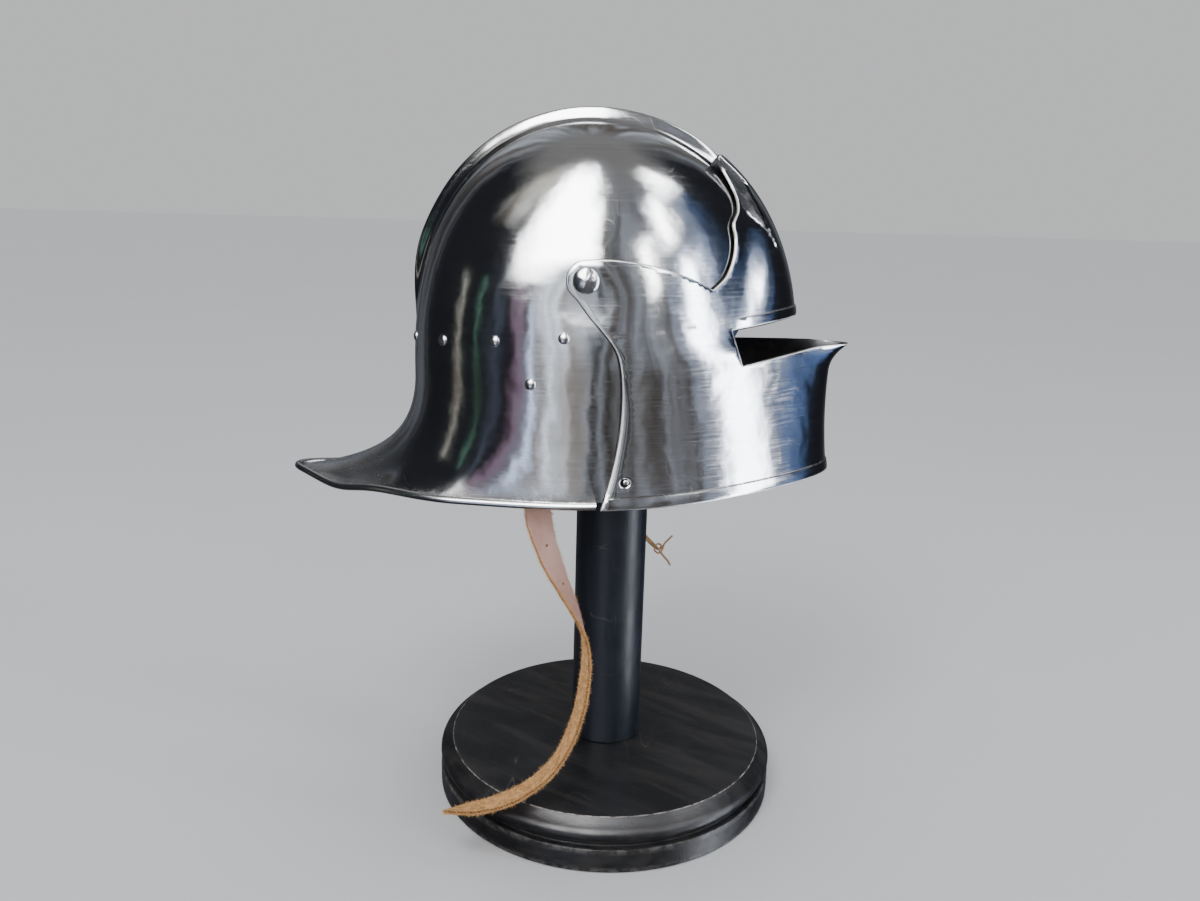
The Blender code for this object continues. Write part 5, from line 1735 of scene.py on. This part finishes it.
@dataclass
class Rivets:
    """Every rivet: the two pivots, the lining rivets and the two that hold the straps."""

    skull: SkullForm
    visor: VisorForm
    bright: Material
    pivot_head_r: float = 0.0087
    pivot_head_h: float = 0.0034
    pivot_shank_r: float = 0.0026
    pivot_peen_r: float = 0.0045
    pivot_peen_h: float = 0.0012
    pivot_seat_gap: float = 0.0006
    pivot_peen_gap: float = 0.0022
    head_r: float = 0.0039
    head_h: float = 0.0019
    head_sunk: float = 0.00012
    seat_gap: float = 0.0001
    strap_seat_gap: float = 0.0002
    shank_r: float = 0.0015
    peen_r: float = 0.0032
    peen_h: float = 0.0010
    strap_off_wall: float = 0.0009
    lining_at: Rows = (
        # forward, up
        (-0.1480, 0.3700), (-0.1220, 0.3735), (-0.0835, 0.3775), (-0.0367, 0.3822),
    )

    def dome(self, radius: float, height: float, cone: float, rows: int = 12) -> list[Pair]:
        """Profile of a rivet head.

        Args:
            radius: the head's radius.
            height: its height.
            cone: 0 for a round dome, 1 for a blunt cone.
            rows: how many rings it has.

        Returns:
            Radius and height of each ring, top to bottom, to just under the rim.
        """
        profile = []
        for turn in np.linspace(0.0, QUARTER, rows + 1):
            r = radius * math.sin(turn)
            domed = height * math.cos(turn)
            blunt = height * (1.0 - (r / radius) ** 1.35) ** 0.80 if r < radius else 0.0
            profile.append((r, domed + cone * (blunt - domed)))
        profile.append((radius * 0.985, -self.head_sunk))
        return profile

    def solid(self, profile: Rows, sides: int) -> tuple:
        """A turned solid, closed on the axis at its lower end."""
        return turned_parts(list(profile) + [(0.0, profile[-1][1])], sides)

    def build(self) -> None:
        """Build and dress every rivet."""
        self.build_pivots()
        self.build_lining()
        self.build_strap_rivets()

    def build_pivots(self) -> None:
        """The large low conical heads on the pivot line, with their peened ends inside."""
        skull, visor = self.skull, self.visor
        plate = visor.point(visor.turn_at(np.array(skull.pivot_x), skull.pivot_z), skull.pivot_z)
        wall = (abs(skull.at(skull.pivot_x, skull.pivot_z, Side.LEFT)[0][1]) - skull.wall
            - self.pivot_peen_gap)
        seat = float(plate[1]) + self.pivot_seat_gap - 0.0004
        grip = seat - wall
        profile = self.dome(self.pivot_head_r, self.pivot_head_h + 0.0004, 0.75, 14)
        profile += [(self.pivot_shank_r, -self.head_sunk), (self.pivot_shank_r, -grip),
            (self.pivot_peen_r * 0.9, -grip), (self.pivot_peen_r, -grip - 0.0004),
            (self.pivot_peen_r * 0.8, -grip - self.pivot_peen_h)]
        for side in Side:
            points, faces = self.solid(profile, 48)
            facets = self.filed(points, self.pivot_head_r)
            place = np.array((skull.pivot_x, side.value * seat, skull.pivot_z))
            moved = stand_on(facets, place, np.array((0.0, side.value, 0.0)))
            piece = make_mesh(f"pivot_rivet_head_{side.label}", moved, faces, (self.bright,))
            dress(piece, Body.STAND, Slot.STEEL, f"pivot_rivet_{side.label}")

    def filed(self, points: Array, radius: float) -> Array:
        """Let the head keep the flats of a hand-filed and polished rivet."""
        r = np.hypot(points[:, 0], points[:, 1])
        turn = np.arctan2(points[:, 1], points[:, 0])
        flats = 0.00010 * np.cos(7.0 * turn + 0.6) * np.exp(-((r / radius - 0.55) / 0.28) ** 2)
        result = points.copy()
        result[:, 2] += np.where(points[:, 2] > 0.0, flats, 0.0)
        return result

    def build_lining(self) -> None:
        """The row of small heads low round the back, set by a shape tree."""
        seats, ways = [], []
        for side in Side:
            for x, z in self.lining_at:
                point, normal = self.skull.at(x, z, side)
                seats.append(point + normal * self.seat_gap)
                ways.append(normal)
        holder = link("lining_seats", raw_mesh("lining_seats", seats))
        layer = holder.data.attributes.new("way", "FLOAT_VECTOR", "POINT")
        layer.data.foreach_set("vector", np.array(ways, dtype=np.float32).ravel())
        points, faces = self.solid(self.dome(self.head_r, self.head_h, 0.15), 32)
        head = make_mesh("lining_head", points, faces, (self.bright,))
        piece = rivet_tree().run(holder, "lining_rivet_heads", Head=head, Spread=0.04, Seed=5,
            Finish=self.bright)
        bpy.data.objects.remove(head)
        numbers = range(1, len(self.lining_at) + 1)
        names = [f"lining_rivet_{side.label}_{n}" for side in Side for n in numbers]
        dress(piece, Body.STAND, Slot.STEEL, *names)

    def build_strap_rivets(self) -> None:
        """The rivets through the wall and the straps' upper ends."""
        grip = self.strap_seat_gap + self.skull.wall + self.strap_off_wall + STRAP_THICKNESS + 0.0006
        profile = self.dome(self.head_r, self.head_h, 0.15)
        profile += [(self.shank_r, -self.head_sunk), (self.shank_r, -grip), (self.peen_r * 0.92, -grip),
            (self.peen_r, -grip - 0.0003), (self.peen_r * 0.85, -grip - self.peen_h)]
        for side in Side:
            point, normal = self.skull.at(*STRAP_RIVET, side)
            points, faces = self.solid(profile, 32)
            moved = stand_on(points, point + normal * self.strap_seat_gap, normal)
            piece = make_mesh(f"strap_rivet_head_{side.label}", moved, faces, (self.bright,))
            dress(piece, Body.STAND, Slot.STEEL, f"strap_rivet_{side.label}")


@dataclass
class CatchStud:
    """The sprung stud that comes through the hole low in the visor's right side."""

    skull: SkullForm
    visor: VisorForm
    bright: Material
    stud_r: float = 0.00185
    proud: float = 0.0006
    flange_r: float = 0.0045
    flange_h: float = 0.0010
    flange_gap: float = 0.0006

    def build(self) -> None:
        """Build and dress the stud."""
        point, normal = self.skull.at(*CATCH, Side.RIGHT)
        x, z = CATCH
        plate = self.visor.point(self.visor.turn_at(np.array(x), z), z)
        cover = float((plate * MIRROR - point) @ normal)
        tip = cover + self.proud
        root = self.skull.wall + self.flange_gap
        profile = [(0.0, tip), (0.5 * self.stud_r, tip - 0.00003),
                   (0.78 * self.stud_r, tip - 0.00014), (0.93 * self.stud_r, tip - 0.00034),
                   (self.stud_r, tip - 0.0007), (self.stud_r, -root),
                   (self.flange_r - 0.0002, -root), (self.flange_r, -root - 0.0002),
                   (self.flange_r, -root - self.flange_h), (0.0, -root - self.flange_h)]
        points, faces = turned_parts(profile, 28)
        piece = make_mesh("catch_stud_pin", stand_on(points, point, normal), faces, (self.bright,))
        dress(piece, Body.CATCH, Slot.STEEL, "catch_stud")


@dataclass
class ChinStrap:
    """One chin strap: a flat strip of hide with its own twist, holes and fuzzy edges."""

    side: Side
    skull: SkullForm
    rows: Rows
    holes: Rows
    finishes: dict[HideFace, Material]
    fibre: Material
    width: float = 0.0175
    thickness: float = STRAP_THICKNESS
    point_length: float = 0.0
    steps: int = 16
    rivet_hole_r: float = 0.0019
    fibre_density: float = 0.0
    fibre_length: float = 0.0030
    fibre_thickness: float = 0.00020
    punch_half: float = 0.006
    fibre_seed: int = 11

    def frames(self) -> tuple[Array, Array, Array, Array]:
        """The strap's middle line with the directions across it and out of it.

        Returns:
            The points, the unit directions across and out, and the run from the top.
        """
        curve = smooth_through(self.rows, self.steps)
        centre = curve[:, :3]
        turn = np.radians(curve[:, 3])[:, None]
        along = unit(np.gradient(centre, axis=0))
        flat = unit(np.cross(along, (0.0, 1.0, 0.0)))
        face = np.cross(flat, along)
        across = np.cos(turn) * flat + np.sin(turn) * face
        out = -np.sin(turn) * flat + np.cos(turn) * face
        return centre, across, out, run_length(centre)

    def section(self) -> list[tuple[float, float, HideFace]]:
        """The strap's cross-section: place across, place through, and the face after it."""
        soft = 0.0004
        half_t = 0.5 * self.thickness
        inner = 0.5 * self.width - soft
        rows = []
        for sign, face in ((1.0, HideFace.FLESH), (-1.0, HideFace.GRAIN)):
            for share in np.linspace(-sign, sign, 9):
                rows.append((inner * share, sign * half_t, face))
            rows[-1] = (sign * inner, sign * half_t, HideFace.CUT)
            for share in (0.72, 0.24, -0.24, -0.72):
                bulge = soft * (1.0 - 0.5 * share ** 2)
                rows.append((sign * (inner + bulge), half_t * sign * share, HideFace.CUT))
        return rows

    def mesh_rows(self) -> tuple[Array, Faces, list[int], Array]:
        """Points, faces, face slots and flat places of the strap.

        Returns:
            The points, the faces, the slot of each face, and each corner's run and place
            across, in metres.
        """
        centre, across, out, run = self.frames()
        section = self.section()
        ring = len(section)
        left = run[-1] - run
        narrow = np.ones(len(run))
        if self.point_length:
            narrow = 0.30 + 0.70 * np.sqrt(np.clip(left / self.point_length, 0.0, 1.0))
        wander = 0.00022 * np.sin(run * 190.0) + 0.00014 * np.sin(run * 431.0 + 1.0)
        points = []
        for index in range(len(run)):
            for a, b, _ in section:
                shift = a * narrow[index] + wander[index] * math.copysign(1.0, a) * abs(a) / 0.009
                points.append(centre[index] + across[index] * shift + out[index] * b)
        faces, slots = [], []
        for row in range(len(run) - 1):
            for corner in range(ring):
                after = (corner + 1) % ring
                first = ring * row
                faces.append((first + corner, first + after, first + ring + after, first + ring + corner))
                slots.append(section[corner][2].value)
        last = ring * (len(run) - 1)
        faces += [tuple(range(ring))[::-1], tuple(last + corner for corner in range(ring))]
        slots += [HideFace.CUT.value] * 2
        return np.array(points), faces, slots, run

    def build(self) -> None:
        """Build and dress the strap and its loose fibres."""
        points, faces, slots, run = self.mesh_rows()
        section = self.section()
        mesh = raw_mesh("strap", points, (), faces)
        mesh.polygons.foreach_set("material_index", np.array(slots, dtype=np.int32))
        lay = mesh.uv_layers.new(name="run")
        for face, slot in zip(mesh.polygons, slots):
            for loop in face.loop_indices:
                row, corner = divmod(mesh.loops[loop].vertex_index, len(section))
                a, b, _ = section[corner]
                cut = slot == HideFace.CUT.value
                lay.data[loop].uv = (run[row], b + 0.5 * self.thickness if cut else a + 0.5 * self.width)
        finishes = [self.finishes[face] for face in HideFace]
        piece = finished(f"chin_strap_{self.side.label}_leather", mesh, finishes, 50.0)
        self.punch(piece)
        fuzz = self.fuzz(points, faces, slots)
        dress(piece, Body.STAND, Slot.LEATHER, f"chin_strap_{self.side.label}")
        if fuzz is not None:
            dress(fuzz, Body.STAND, Slot.LEATHER)

    def punch(self, piece: Object) -> None:
        """Cut the rivet's hole and the punched holes, and leave a plain mesh."""
        centre, _, out, _ = self.frames()
        point, normal = self.skull.at(*STRAP_RIVET, self.side)
        cuts = [(point - normal * 0.004, normal, self.rivet_hole_r)]
        for place, radius in self.holes:
            index = int(round(place * self.steps))
            cuts.append((centre[index], out[index], radius))
        cutters = []
        for seat, way, radius in cuts:
            half = self.punch_half
            profile = [(0.0, half), (radius, half), (radius, -half), (0.0, -half)]
            rows, faces = turned_parts(profile, 20)
            cutter = make_mesh("punch", stand_on(rows, seat, way), faces, (self.finishes[HideFace.CUT],))
            modifier = piece.modifiers.new("hole", "BOOLEAN")
            modifier.operation, modifier.solver, modifier.object = "DIFFERENCE", "EXACT", cutter
            modifier.material_mode = "TRANSFER"
            cutters.append(cutter)
        piece.data = plain_copy(piece)
        piece.data.name = piece.name
        for cutter in cutters:
            bpy.data.objects.remove(cutter)

    def fuzz(self, points: Array, faces: Sequence[Sequence[int]], slots: Sequence[int]) -> Optional[Object]:
        """Loose fibres on the cut edges, set by a shape tree."""
        if not self.fibre_density:
            return None
        chosen = [face for face, slot in zip(faces, slots) if slot == HideFace.CUT.value]
        source = link("strap_edges", raw_mesh("strap_edges", points, (), chosen))
        return fibre_tree().run(source, f"chin_strap_{self.side.label}_fibres", Density=self.fibre_density,
            Length=self.fibre_length, Thickness=self.fibre_thickness, Seed=self.fibre_seed,
            Finish=self.fibre)


@dataclass
class Lace:
    """The thin thong through the far strap, tied in a ring, with two free ends."""

    finish: Material
    radius: float = 0.0011
    flatness: float = 0.78
    route: Rows = (
        # forward, sideways, up
        (0.0555, 0.0800, 0.1831), (0.0520, 0.0795, 0.1795), (0.0483, 0.0790, 0.1752),
        (0.0470, 0.0795, 0.1700), (0.0441, 0.0800, 0.1664), (0.0405, 0.0805, 0.1682),
        (0.0402, 0.0815, 0.1722), (0.0432, 0.0825, 0.1742), (0.0462, 0.0835, 0.1722),
        (0.0452, 0.0845, 0.1690), (0.0420, 0.0850, 0.1690), (0.0329, 0.0852, 0.1770),
        (0.0200, 0.0868, 0.1960), (0.0105, 0.0886, 0.2080), (0.0050, 0.0884, 0.2130),
        (0.0032, 0.0868, 0.2141), (0.0032, 0.0845, 0.2141), (0.0032, 0.0820, 0.2141),
        (0.0050, 0.0802, 0.2130), (0.0110, 0.0792, 0.2060), (0.0200, 0.0785, 0.1960),
        (0.0329, 0.0775, 0.1820), (0.0420, 0.0762, 0.1730), (0.0480, 0.0768, 0.1650),
        (0.0520, 0.0785, 0.1600), (0.0545, 0.0800, 0.1553),
    )

    def build(self) -> None:
        """Sweep and dress the thong."""
        path = smooth_through(self.route, 8)
        piece = sweep_tree().run(line_mesh("lace_path", path), "lace_thong", Radius=self.radius,
            Flatness=self.flatness, Sides=10, Tilt=0.5, Finish=self.finish)
        dress(piece, Body.STAND, Slot.LEATHER, "lace")


@dataclass
class Stand:
    """The turned base and the plain round post."""

    base_paint: Material
    post_paint: Material
    plinth_r: float = 0.1365
    plinth_h: float = 0.0190
    groove_r: float = 0.1310
    torus_r: float = 0.1365
    torus_z: float = 0.0285
    torus_half_h: float = 0.0065
    disc_r: float = 0.1270
    base_h: float = 0.0400
    post_r: float = 0.0280
    post_top_z: float = 0.5190
    post_top_round: float = 0.0200
    seat_gap: float = 0.0003
    path_r: float = 0.0500

    def turned(self, name: str, profile: Rows, sides: int, finish: Material) -> Object:
        """A turned piece.

        Args:
            name: the piece's name.
            profile: radius and height of each ring, top to bottom.
            sides: how many sides it has.
            finish: its material.

        Returns:
            The piece.
        """
        rows = np.array([(r - self.path_r, -z, 0.0) for r, z in profile])
        return revolve_tree().run(line_mesh(name + "_profile", rows), name, 28.0, Path_Radius=self.path_r,
            Sides=sides, Finish=finish)

    def base_profile(self) -> list[Pair]:
        """Radius and height round the base, from the middle of its top to its underside."""
        rows = [(r, self.base_h) for r in (0.0, 0.030, 0.060, 0.095, 0.118)]
        disc, high = self.disc_r, self.base_h
        rows += [(disc - 0.0020, high), (disc - 0.0009, high), (disc - 0.0003, high - 0.0002),
            (disc, high - 0.0009)]
        for turn in np.radians(np.linspace(68.0, -72.0, 15)):
            rows.append((self.torus_r - self.torus_half_h + self.torus_half_h * math.cos(turn),
                self.torus_z + self.torus_half_h * math.sin(turn)))
        groove, plinth, top = self.groove_r, self.plinth_r, self.plinth_h
        rows += [(groove, top + 0.0020), (groove - 0.0002, top + 0.0006), (groove + 0.0006, top)]
        rows += [(plinth - 0.0016, top), (plinth - 0.0005, top - 0.0004), (plinth - 0.0001, top - 0.0013),
            (plinth, top - 0.0050), (plinth, 0.0050), (plinth - 0.0002, 0.0010), (plinth - 0.0010, 0.0)]
        rows += [(0.060, 0.0), (0.0, 0.0)]
        return rows

    def build(self) -> None:
        """Build and dress the base and the post."""
        base = self.turned("stand_base_turned", self.base_profile(), 160, self.base_paint)
        place = np.array([vertex.co for vertex in base.data.vertices], dtype=float)
        radius = np.hypot(place[:, 0], place[:, 1])
        rim = (np.abs(radius - (self.disc_r - 0.0003)) < 0.0002) & (place[:, 2] > 0.0388)
        foot = (place[:, 2] < 0.0012) & (radius > self.plinth_r - 0.0012)
        shoulder = ((np.abs(place[:, 2] - self.plinth_h) < 0.0015) & (radius > self.plinth_r - 0.0012))
        store_layer(base.data, "wear", 0.8 * rim + 0.2 * foot + 0.15 * shoulder)
        dress(base, Body.STAND, Slot.PAINT, "stand_base")
        low = self.base_h + self.seat_gap
        profile = [(0.0, self.post_top_z), (0.5 * (self.post_r - self.post_top_round), self.post_top_z)]
        for turn in np.radians(np.linspace(88.0, 0.0, 12)):
            profile.append((self.post_r - self.post_top_round + self.post_top_round * math.cos(turn),
                self.post_top_z - self.post_top_round + self.post_top_round * math.sin(turn)))
        profile += [(self.post_r, 0.35), (self.post_r, 0.20), (self.post_r, low + 0.0006),
            (self.post_r - 0.0006, low), (0.0, low)]
        post = self.turned("stand_post_turned", profile, 96, self.post_paint)
        dress(post, Body.STAND, Slot.PAINT, "stand_post")


# The studio


@dataclass(frozen=True)
class SoftLight:
    """One soft light, placed by where it is seen from the helmet."""

    name: str
    azimuth: float
    elevation: float
    wide: float
    tall: float
    power: float
    tone: Triple = (1.0, 1.0, 1.0)
    distance: float = 2.4

    def build(self, target: Vector) -> None:
        """Set the light up, facing the target."""
        a, e = math.radians(self.azimuth), math.radians(self.elevation)
        way = Vector((math.cos(a) * math.cos(e), math.sin(a) * math.cos(e), math.sin(e)))
        data = bpy.data.lights.new(self.name, "AREA")
        data.shape = "RECTANGLE"
        data.size, data.size_y = self.wide, self.tall
        data.energy = self.power
        data.color = self.tone
        lamp = link(self.name, data)
        lamp.location = target + way * self.distance
        lamp.rotation_euler = (-way).to_track_quat("-Z", "Y").to_euler()
        lamp.visible_camera = False
        lamp.visible_glossy = False


@dataclass(frozen=True)
class Panel:
    """A pale reflector or dark flag round the studio, which only polished steel shows."""

    azimuth: float
    half: float
    low: float
    high: float
    glow: float
    tone: Triple = (1.0, 1.0, 1.0)
    soft: float = 4.0


@dataclass
class Studio:
    """A pale floor, soft lights and the camera at the photograph's angle."""

    target: Triple = (-0.02, 0.0, 0.40)
    floor_size: float = 14.0
    eye: Triple = (-0.0109, -0.75864, 0.47636)
    lens: float = 30.0
    sensor: float = 36.0
    pitch: float = 0.25364
    roll: float = 0.02861
    lights: tuple[SoftLight, ...] = (SoftLight("key_over_camera", -115.0, 48.0, 0.9, 0.9, 26.0),
        SoftLight("front_strip", -18.0, 18.0, 0.35, 1.4, 15.0, (0.80, 0.88, 1.0)),)
    panels: tuple[Panel, ...] = (
        # azimuth, half width, lowest and highest elevation in degrees, glow, tone, softness
        Panel(0.0, 200.0, 60.0, 120.0, 0.24, (1.0, 0.97, 0.94), 9.0),
        Panel(-77.0, 48.0, -70.0, 86.0, 0.25, (1.0, 1.0, 1.03), 6.0),
        Panel(-84.0, 64.0, -95.0, -30.0, 0.10, (1.0, 1.0, 1.05), 16.0),
        Panel(-14.0, 14.0, -45.0, 26.0, 0.50, (0.84, 0.94, 1.18), 5.0),
        Panel(-14.0, 14.0, 28.0, 62.0, 0.22, (0.80, 0.94, 1.25), 5.0),
        Panel(3.0, 4.0, -40.0, 50.0, 0.20, (0.45, 0.80, 1.70), 3.0),
        Panel(-105.0, 12.0, -34.0, 20.0, 1.00, (1.0, 1.0, 1.0), 5.0),
        Panel(-119.0, 2.6, -34.0, 12.0, 1.30, (0.84, 0.94, 1.16), 2.0),
        Panel(-128.0, 3.0, -34.0, 14.0, 0.22, (1.0, 0.60, 0.80), 2.5),
        Panel(-88.0, 2.6, -34.0, 12.0, 0.04, (1.0, 0.95, 0.90), 2.0),
        Panel(-74.0, 5.0, -44.0, -3.0, 0.07, (1.0, 0.90, 0.80), 4.0),
        Panel(-56.0, 6.0, -44.0, -3.0, 0.13, (1.0, 0.90, 0.82), 4.0),
        Panel(-154.0, 12.0, 42.0, 72.0, 0.90, (1.0, 0.95, 0.82), 6.0),
        Panel(-143.0, 4.0, -38.0, 24.0, 0.055, (0.85, 0.95, 1.2), 3.0),
        Panel(-172.0, 2.5, -40.0, 14.0, 0.45, (1.0, 0.94, 0.76), 2.0),
        Panel(-154.0, 1.8, -30.0, 16.0, 0.22, (0.50, 1.0, 0.72), 1.6),
        Panel(95.0, 42.0, 20.0, 62.0, 0.35, (1.0, 1.0, 1.0), 12.0),
        Panel(95.0, 50.0, -60.0, 20.0, 0.10, (1.0, 1.0, 1.05), 12.0),
        Panel(-108.0, 24.0, 20.0, 78.0, 14.0, (1.0, 1.0, 1.0), 7.0),
        Panel(-43.0, 5.0, 13.0, 32.0, 12.0, (1.0, 1.0, 1.0), 3.0),
        Panel(-25.0, 6.0, 28.0, 50.0, 12.0, (1.0, 1.0, 1.0), 4.0),
        Panel(-5.0, 11.0, 48.0, 64.0, 9.0, (1.0, 1.0, 1.0), 5.0),
        Panel(-14.5, 5.5, -45.0, 19.0, 12.0, (0.94, 0.97, 1.05), 2.5),
    )

    def build(self) -> None:
        """Set up the floor, the surroundings, the lights and the camera."""
        self.build_camera()
        self.build_floor()
        self.build_world()
        for light in self.lights:
            light.build(Vector(self.target))

    def build_floor(self) -> None:
        """Lay the plain pale floor."""
        size = self.floor_size
        shader = MaterialTree("pale_floor")
        cloud = shader.noise(shader.point, 3.0, 4.0)
        colour = shader.mix(cloud, (0.585, 0.59, 0.60), (0.615, 0.62, 0.63))
        corners = [(-size, -size, 0.0), (size, -size, 0.0), (size, size, 0.0), (-size, size, 0.0)]
        floor = link("floor", raw_mesh("floor", corners, (), [(0, 1, 2, 3)]))
        floor.data.materials.append(shader.surface(colour, 0.85, specular=0.0))
        floor.location.z = -0.0004
        floor.visible_glossy = False

    def build_world(self) -> None:
        """Surround the scene with an even glow, and with the panels that steel mirrors."""
        world = bpy.data.worlds.new("studio")
        world.use_nodes = True
        shader = ShaderTree(world.node_tree)
        world.node_tree.nodes.clear()
        way = shader.add("ShaderNodeTexCoord")["Generated"]
        parts = shader.add("ShaderNodeSeparateXYZ", {0: way})
        degree = 180.0 / math.pi
        azimuth = shader.times(shader.sum("ARCTAN2", parts["Y"], parts["X"]), degree)
        height = shader.times(shader.sum("ARCSINE", parts["Z"]), degree)
        drawn = shader.add("ShaderNodeCombineXYZ", {"X": shader.times(azimuth, 0.16),
            "Y": shader.times(height, 0.012)})[0]
        streaks = shader.noise(drawn, 1.0, 3.0, 0.6)
        azimuth = shader.more(azimuth, shader.minus(shader.noise(way, 5.0), 0.5), 7.0)
        colour: Any = (0.012, 0.013, 0.017)
        tint = shader.mix(shader.between(streaks, 0.40, 0.60), (0.34, 0.29, 0.25), (1.55, 1.68, 1.85))
        tint = shader.mix(shader.between(height, 45.0, 65.0), tint, (1.0, 1.0, 1.0))
        for panel in self.panels:
            mask: Any = 1.0
            for value, middle, half in ((azimuth, panel.azimuth, panel.half),
                    (height, 0.5 * (panel.low + panel.high), 0.5 * (panel.high - panel.low))):
                off = shader.sum("ABSOLUTE", shader.minus(value, middle))
                inside_share = shader.sum("MULTIPLY_ADD", off, -0.5 / panel.soft, 0.5 + 0.5 * half
                    / panel.soft, clamp=True)
                mask = shader.times(inside_share, mask)
            glow = shade(panel.tone, panel.glow)
            lit = glow if panel.glow > 2.0 else shader.mix(1.0, glow, tint, "MULTIPLY")
            colour = shader.mix(mask, colour, lit)
        path = shader.add("ShaderNodeLightPath")
        plain = shader.mix(path["Is Camera Ray"], (0.95, 0.96, 0.98), (0.62, 0.627, 0.64))
        colour = shader.mix(path["Is Glossy Ray"], plain, colour)
        back = shader.add("ShaderNodeBackground", {"Color": colour, "Strength": 1.0})[0]
        shader.add("ShaderNodeOutputWorld", {"Surface": back})
        bpy.context.scene.world = world

    def build_camera(self) -> None:
        """Put the camera where the photograph was taken from."""
        cr, sr = math.cos(self.roll), math.sin(self.roll)
        cp, sp = math.cos(self.pitch), math.sin(self.pitch)
        right, up = Vector((1.0, 0.0, 0.0)), Vector((0.0, sp, cp))
        ahead = Vector((0.0, cp, -sp))
        axes = (right * cr + up * sr, up * cr - right * sr, -ahead)
        turn = Matrix(axes).transposed()
        data = bpy.data.cameras.new("camera")
        data.lens = self.lens
        data.sensor_width = self.sensor
        data.clip_start = 0.01
        camera = link("camera", data)
        camera.matrix_world = Matrix.Translation(self.eye) @ turn.to_4x4()
        bpy.context.scene.camera = camera


NEAR_STRAP = (
    # forward, sideways, up, turn about its own run in degrees
    (-0.0578, -0.0999, 0.3590, -13.0),
    (-0.0575, -0.0999, 0.3505, -13.0),
    (-0.0555, -0.0995, 0.3200, -10.0),
    (-0.0540, -0.0988, 0.2900, -2.0),
    (-0.0527, -0.0985, 0.2607, 10.0),
    (-0.0504, -0.0985, 0.2468, 28.0),
    (-0.0445, -0.0985, 0.2285, 45.0),
    (-0.0365, -0.0985, 0.2100, 64.0),
    (-0.0239, -0.0990, 0.1839, 88.0),
    (-0.0177, -0.1000, 0.1653, 102.0),
    (-0.0164, -0.1020, 0.1428, 108.0),
    (-0.0200, -0.1060, 0.1146, 108.0),
    (-0.0280, -0.1110, 0.0899, 103.0),
    (-0.0405, -0.1150, 0.0692, 97.0),
    (-0.0617, -0.1200, 0.0529, 92.0),
    (-0.0864, -0.1260, 0.0454, 86.0),
    (-0.1150, -0.1320, 0.0436, 62.0),
)
NEAR_HOLES = ((5.63, 0.0011), (7.15, 0.0011))
FAR_STRAP = (
    # forward, sideways, up, turn about its own run in degrees
    (-0.0578, 0.0999, 0.3590, 13.0),
    (-0.0575, 0.0999, 0.3505, 13.0),
    (-0.0555, 0.0995, 0.3200, 10.0),
    (-0.0480, 0.0975, 0.2850, 6.0),
    (-0.0320, 0.0930, 0.2540, 3.0),
    (-0.0100, 0.0870, 0.2270, 0.0),
    (0.0120, 0.0830, 0.2060, 0.0),
)
FAR_HOLES = ((5.6, 0.0018),)


BASE_PAINT = BlackPaint("black_paint_base", turn=(0.0, 0.0, 0.62), stroke_scale=1.0,
    body=(0.0070, 0.0074, 0.0088), thin=(0.030, 0.028, 0.027), haze=(0.020, 0.021, 0.024), thin_share=0.75,
    rough=0.20, stroke_depth=0.00016, grain_depth=0.00030, worn_edges=True)
# The post's black paint has a blue cast, a painted tint for the blue reflection along it.
POST_PAINT = BlackPaint("black_paint_post", turn=(0.0, QUARTER, 0.0), stroke_scale=1.6,
    body=(0.0060, 0.0085, 0.0140), thin=(0.012, 0.017, 0.027), haze=(0.010, 0.014, 0.022), thin_share=0.4,
    rough=0.24, stroke_depth=0.00008, grain_depth=0.00010)


def main() -> None:
    """Build the studio, then every sub-assembly of the sallet and its stand."""
    logging.basicConfig(level=logging.INFO, format="%(message)s")
    Studio().build()
    skull_form = SkullForm()
    visor_form = VisorForm(skull_form)
    inner = InnerSteel().material()
    catch_seat = skull_form.at(*CATCH, Side.RIGHT)[0]
    bowl_steel = SteelFinish("bowl_steel", 0.10, 0.6, tail_dull=0.20, grime=True,
        shaded_spot=tuple(catch_seat)).material()
    visor_steel = SteelFinish("visor_steel", 0.09, 0.9, grime=True, wear=True).material()
    rim_steel = SteelFinish("rim_steel", 0.20, 0.3, 0.3).material()
    rivet_steel = SteelFinish("rivet_steel", 0.21, 0.2, 0.15).material()
    hide = {face: StrapLeather(face).material() for face in HideFace}
    fibre = FibreFinish().material()
    Skull(skull_form, bowl_steel, inner, rim_steel).build()
    Visor(visor_form, visor_steel, inner).build()
    Rivets(skull_form, visor_form, rivet_steel).build()
    CatchStud(skull_form, visor_form, rivet_steel).build()
    ChinStrap(Side.RIGHT, skull_form, NEAR_STRAP, NEAR_HOLES, hide, fibre, point_length=0.016,
        fibre_density=2400000.0).build()
    ChinStrap(Side.LEFT, skull_form, FAR_STRAP, FAR_HOLES, hide, fibre).build()
    Lace(ThongLeather().material()).build()
    Stand(BASE_PAINT.material(), POST_PAINT.material()).build()


if __name__ == "__main__":
    main()
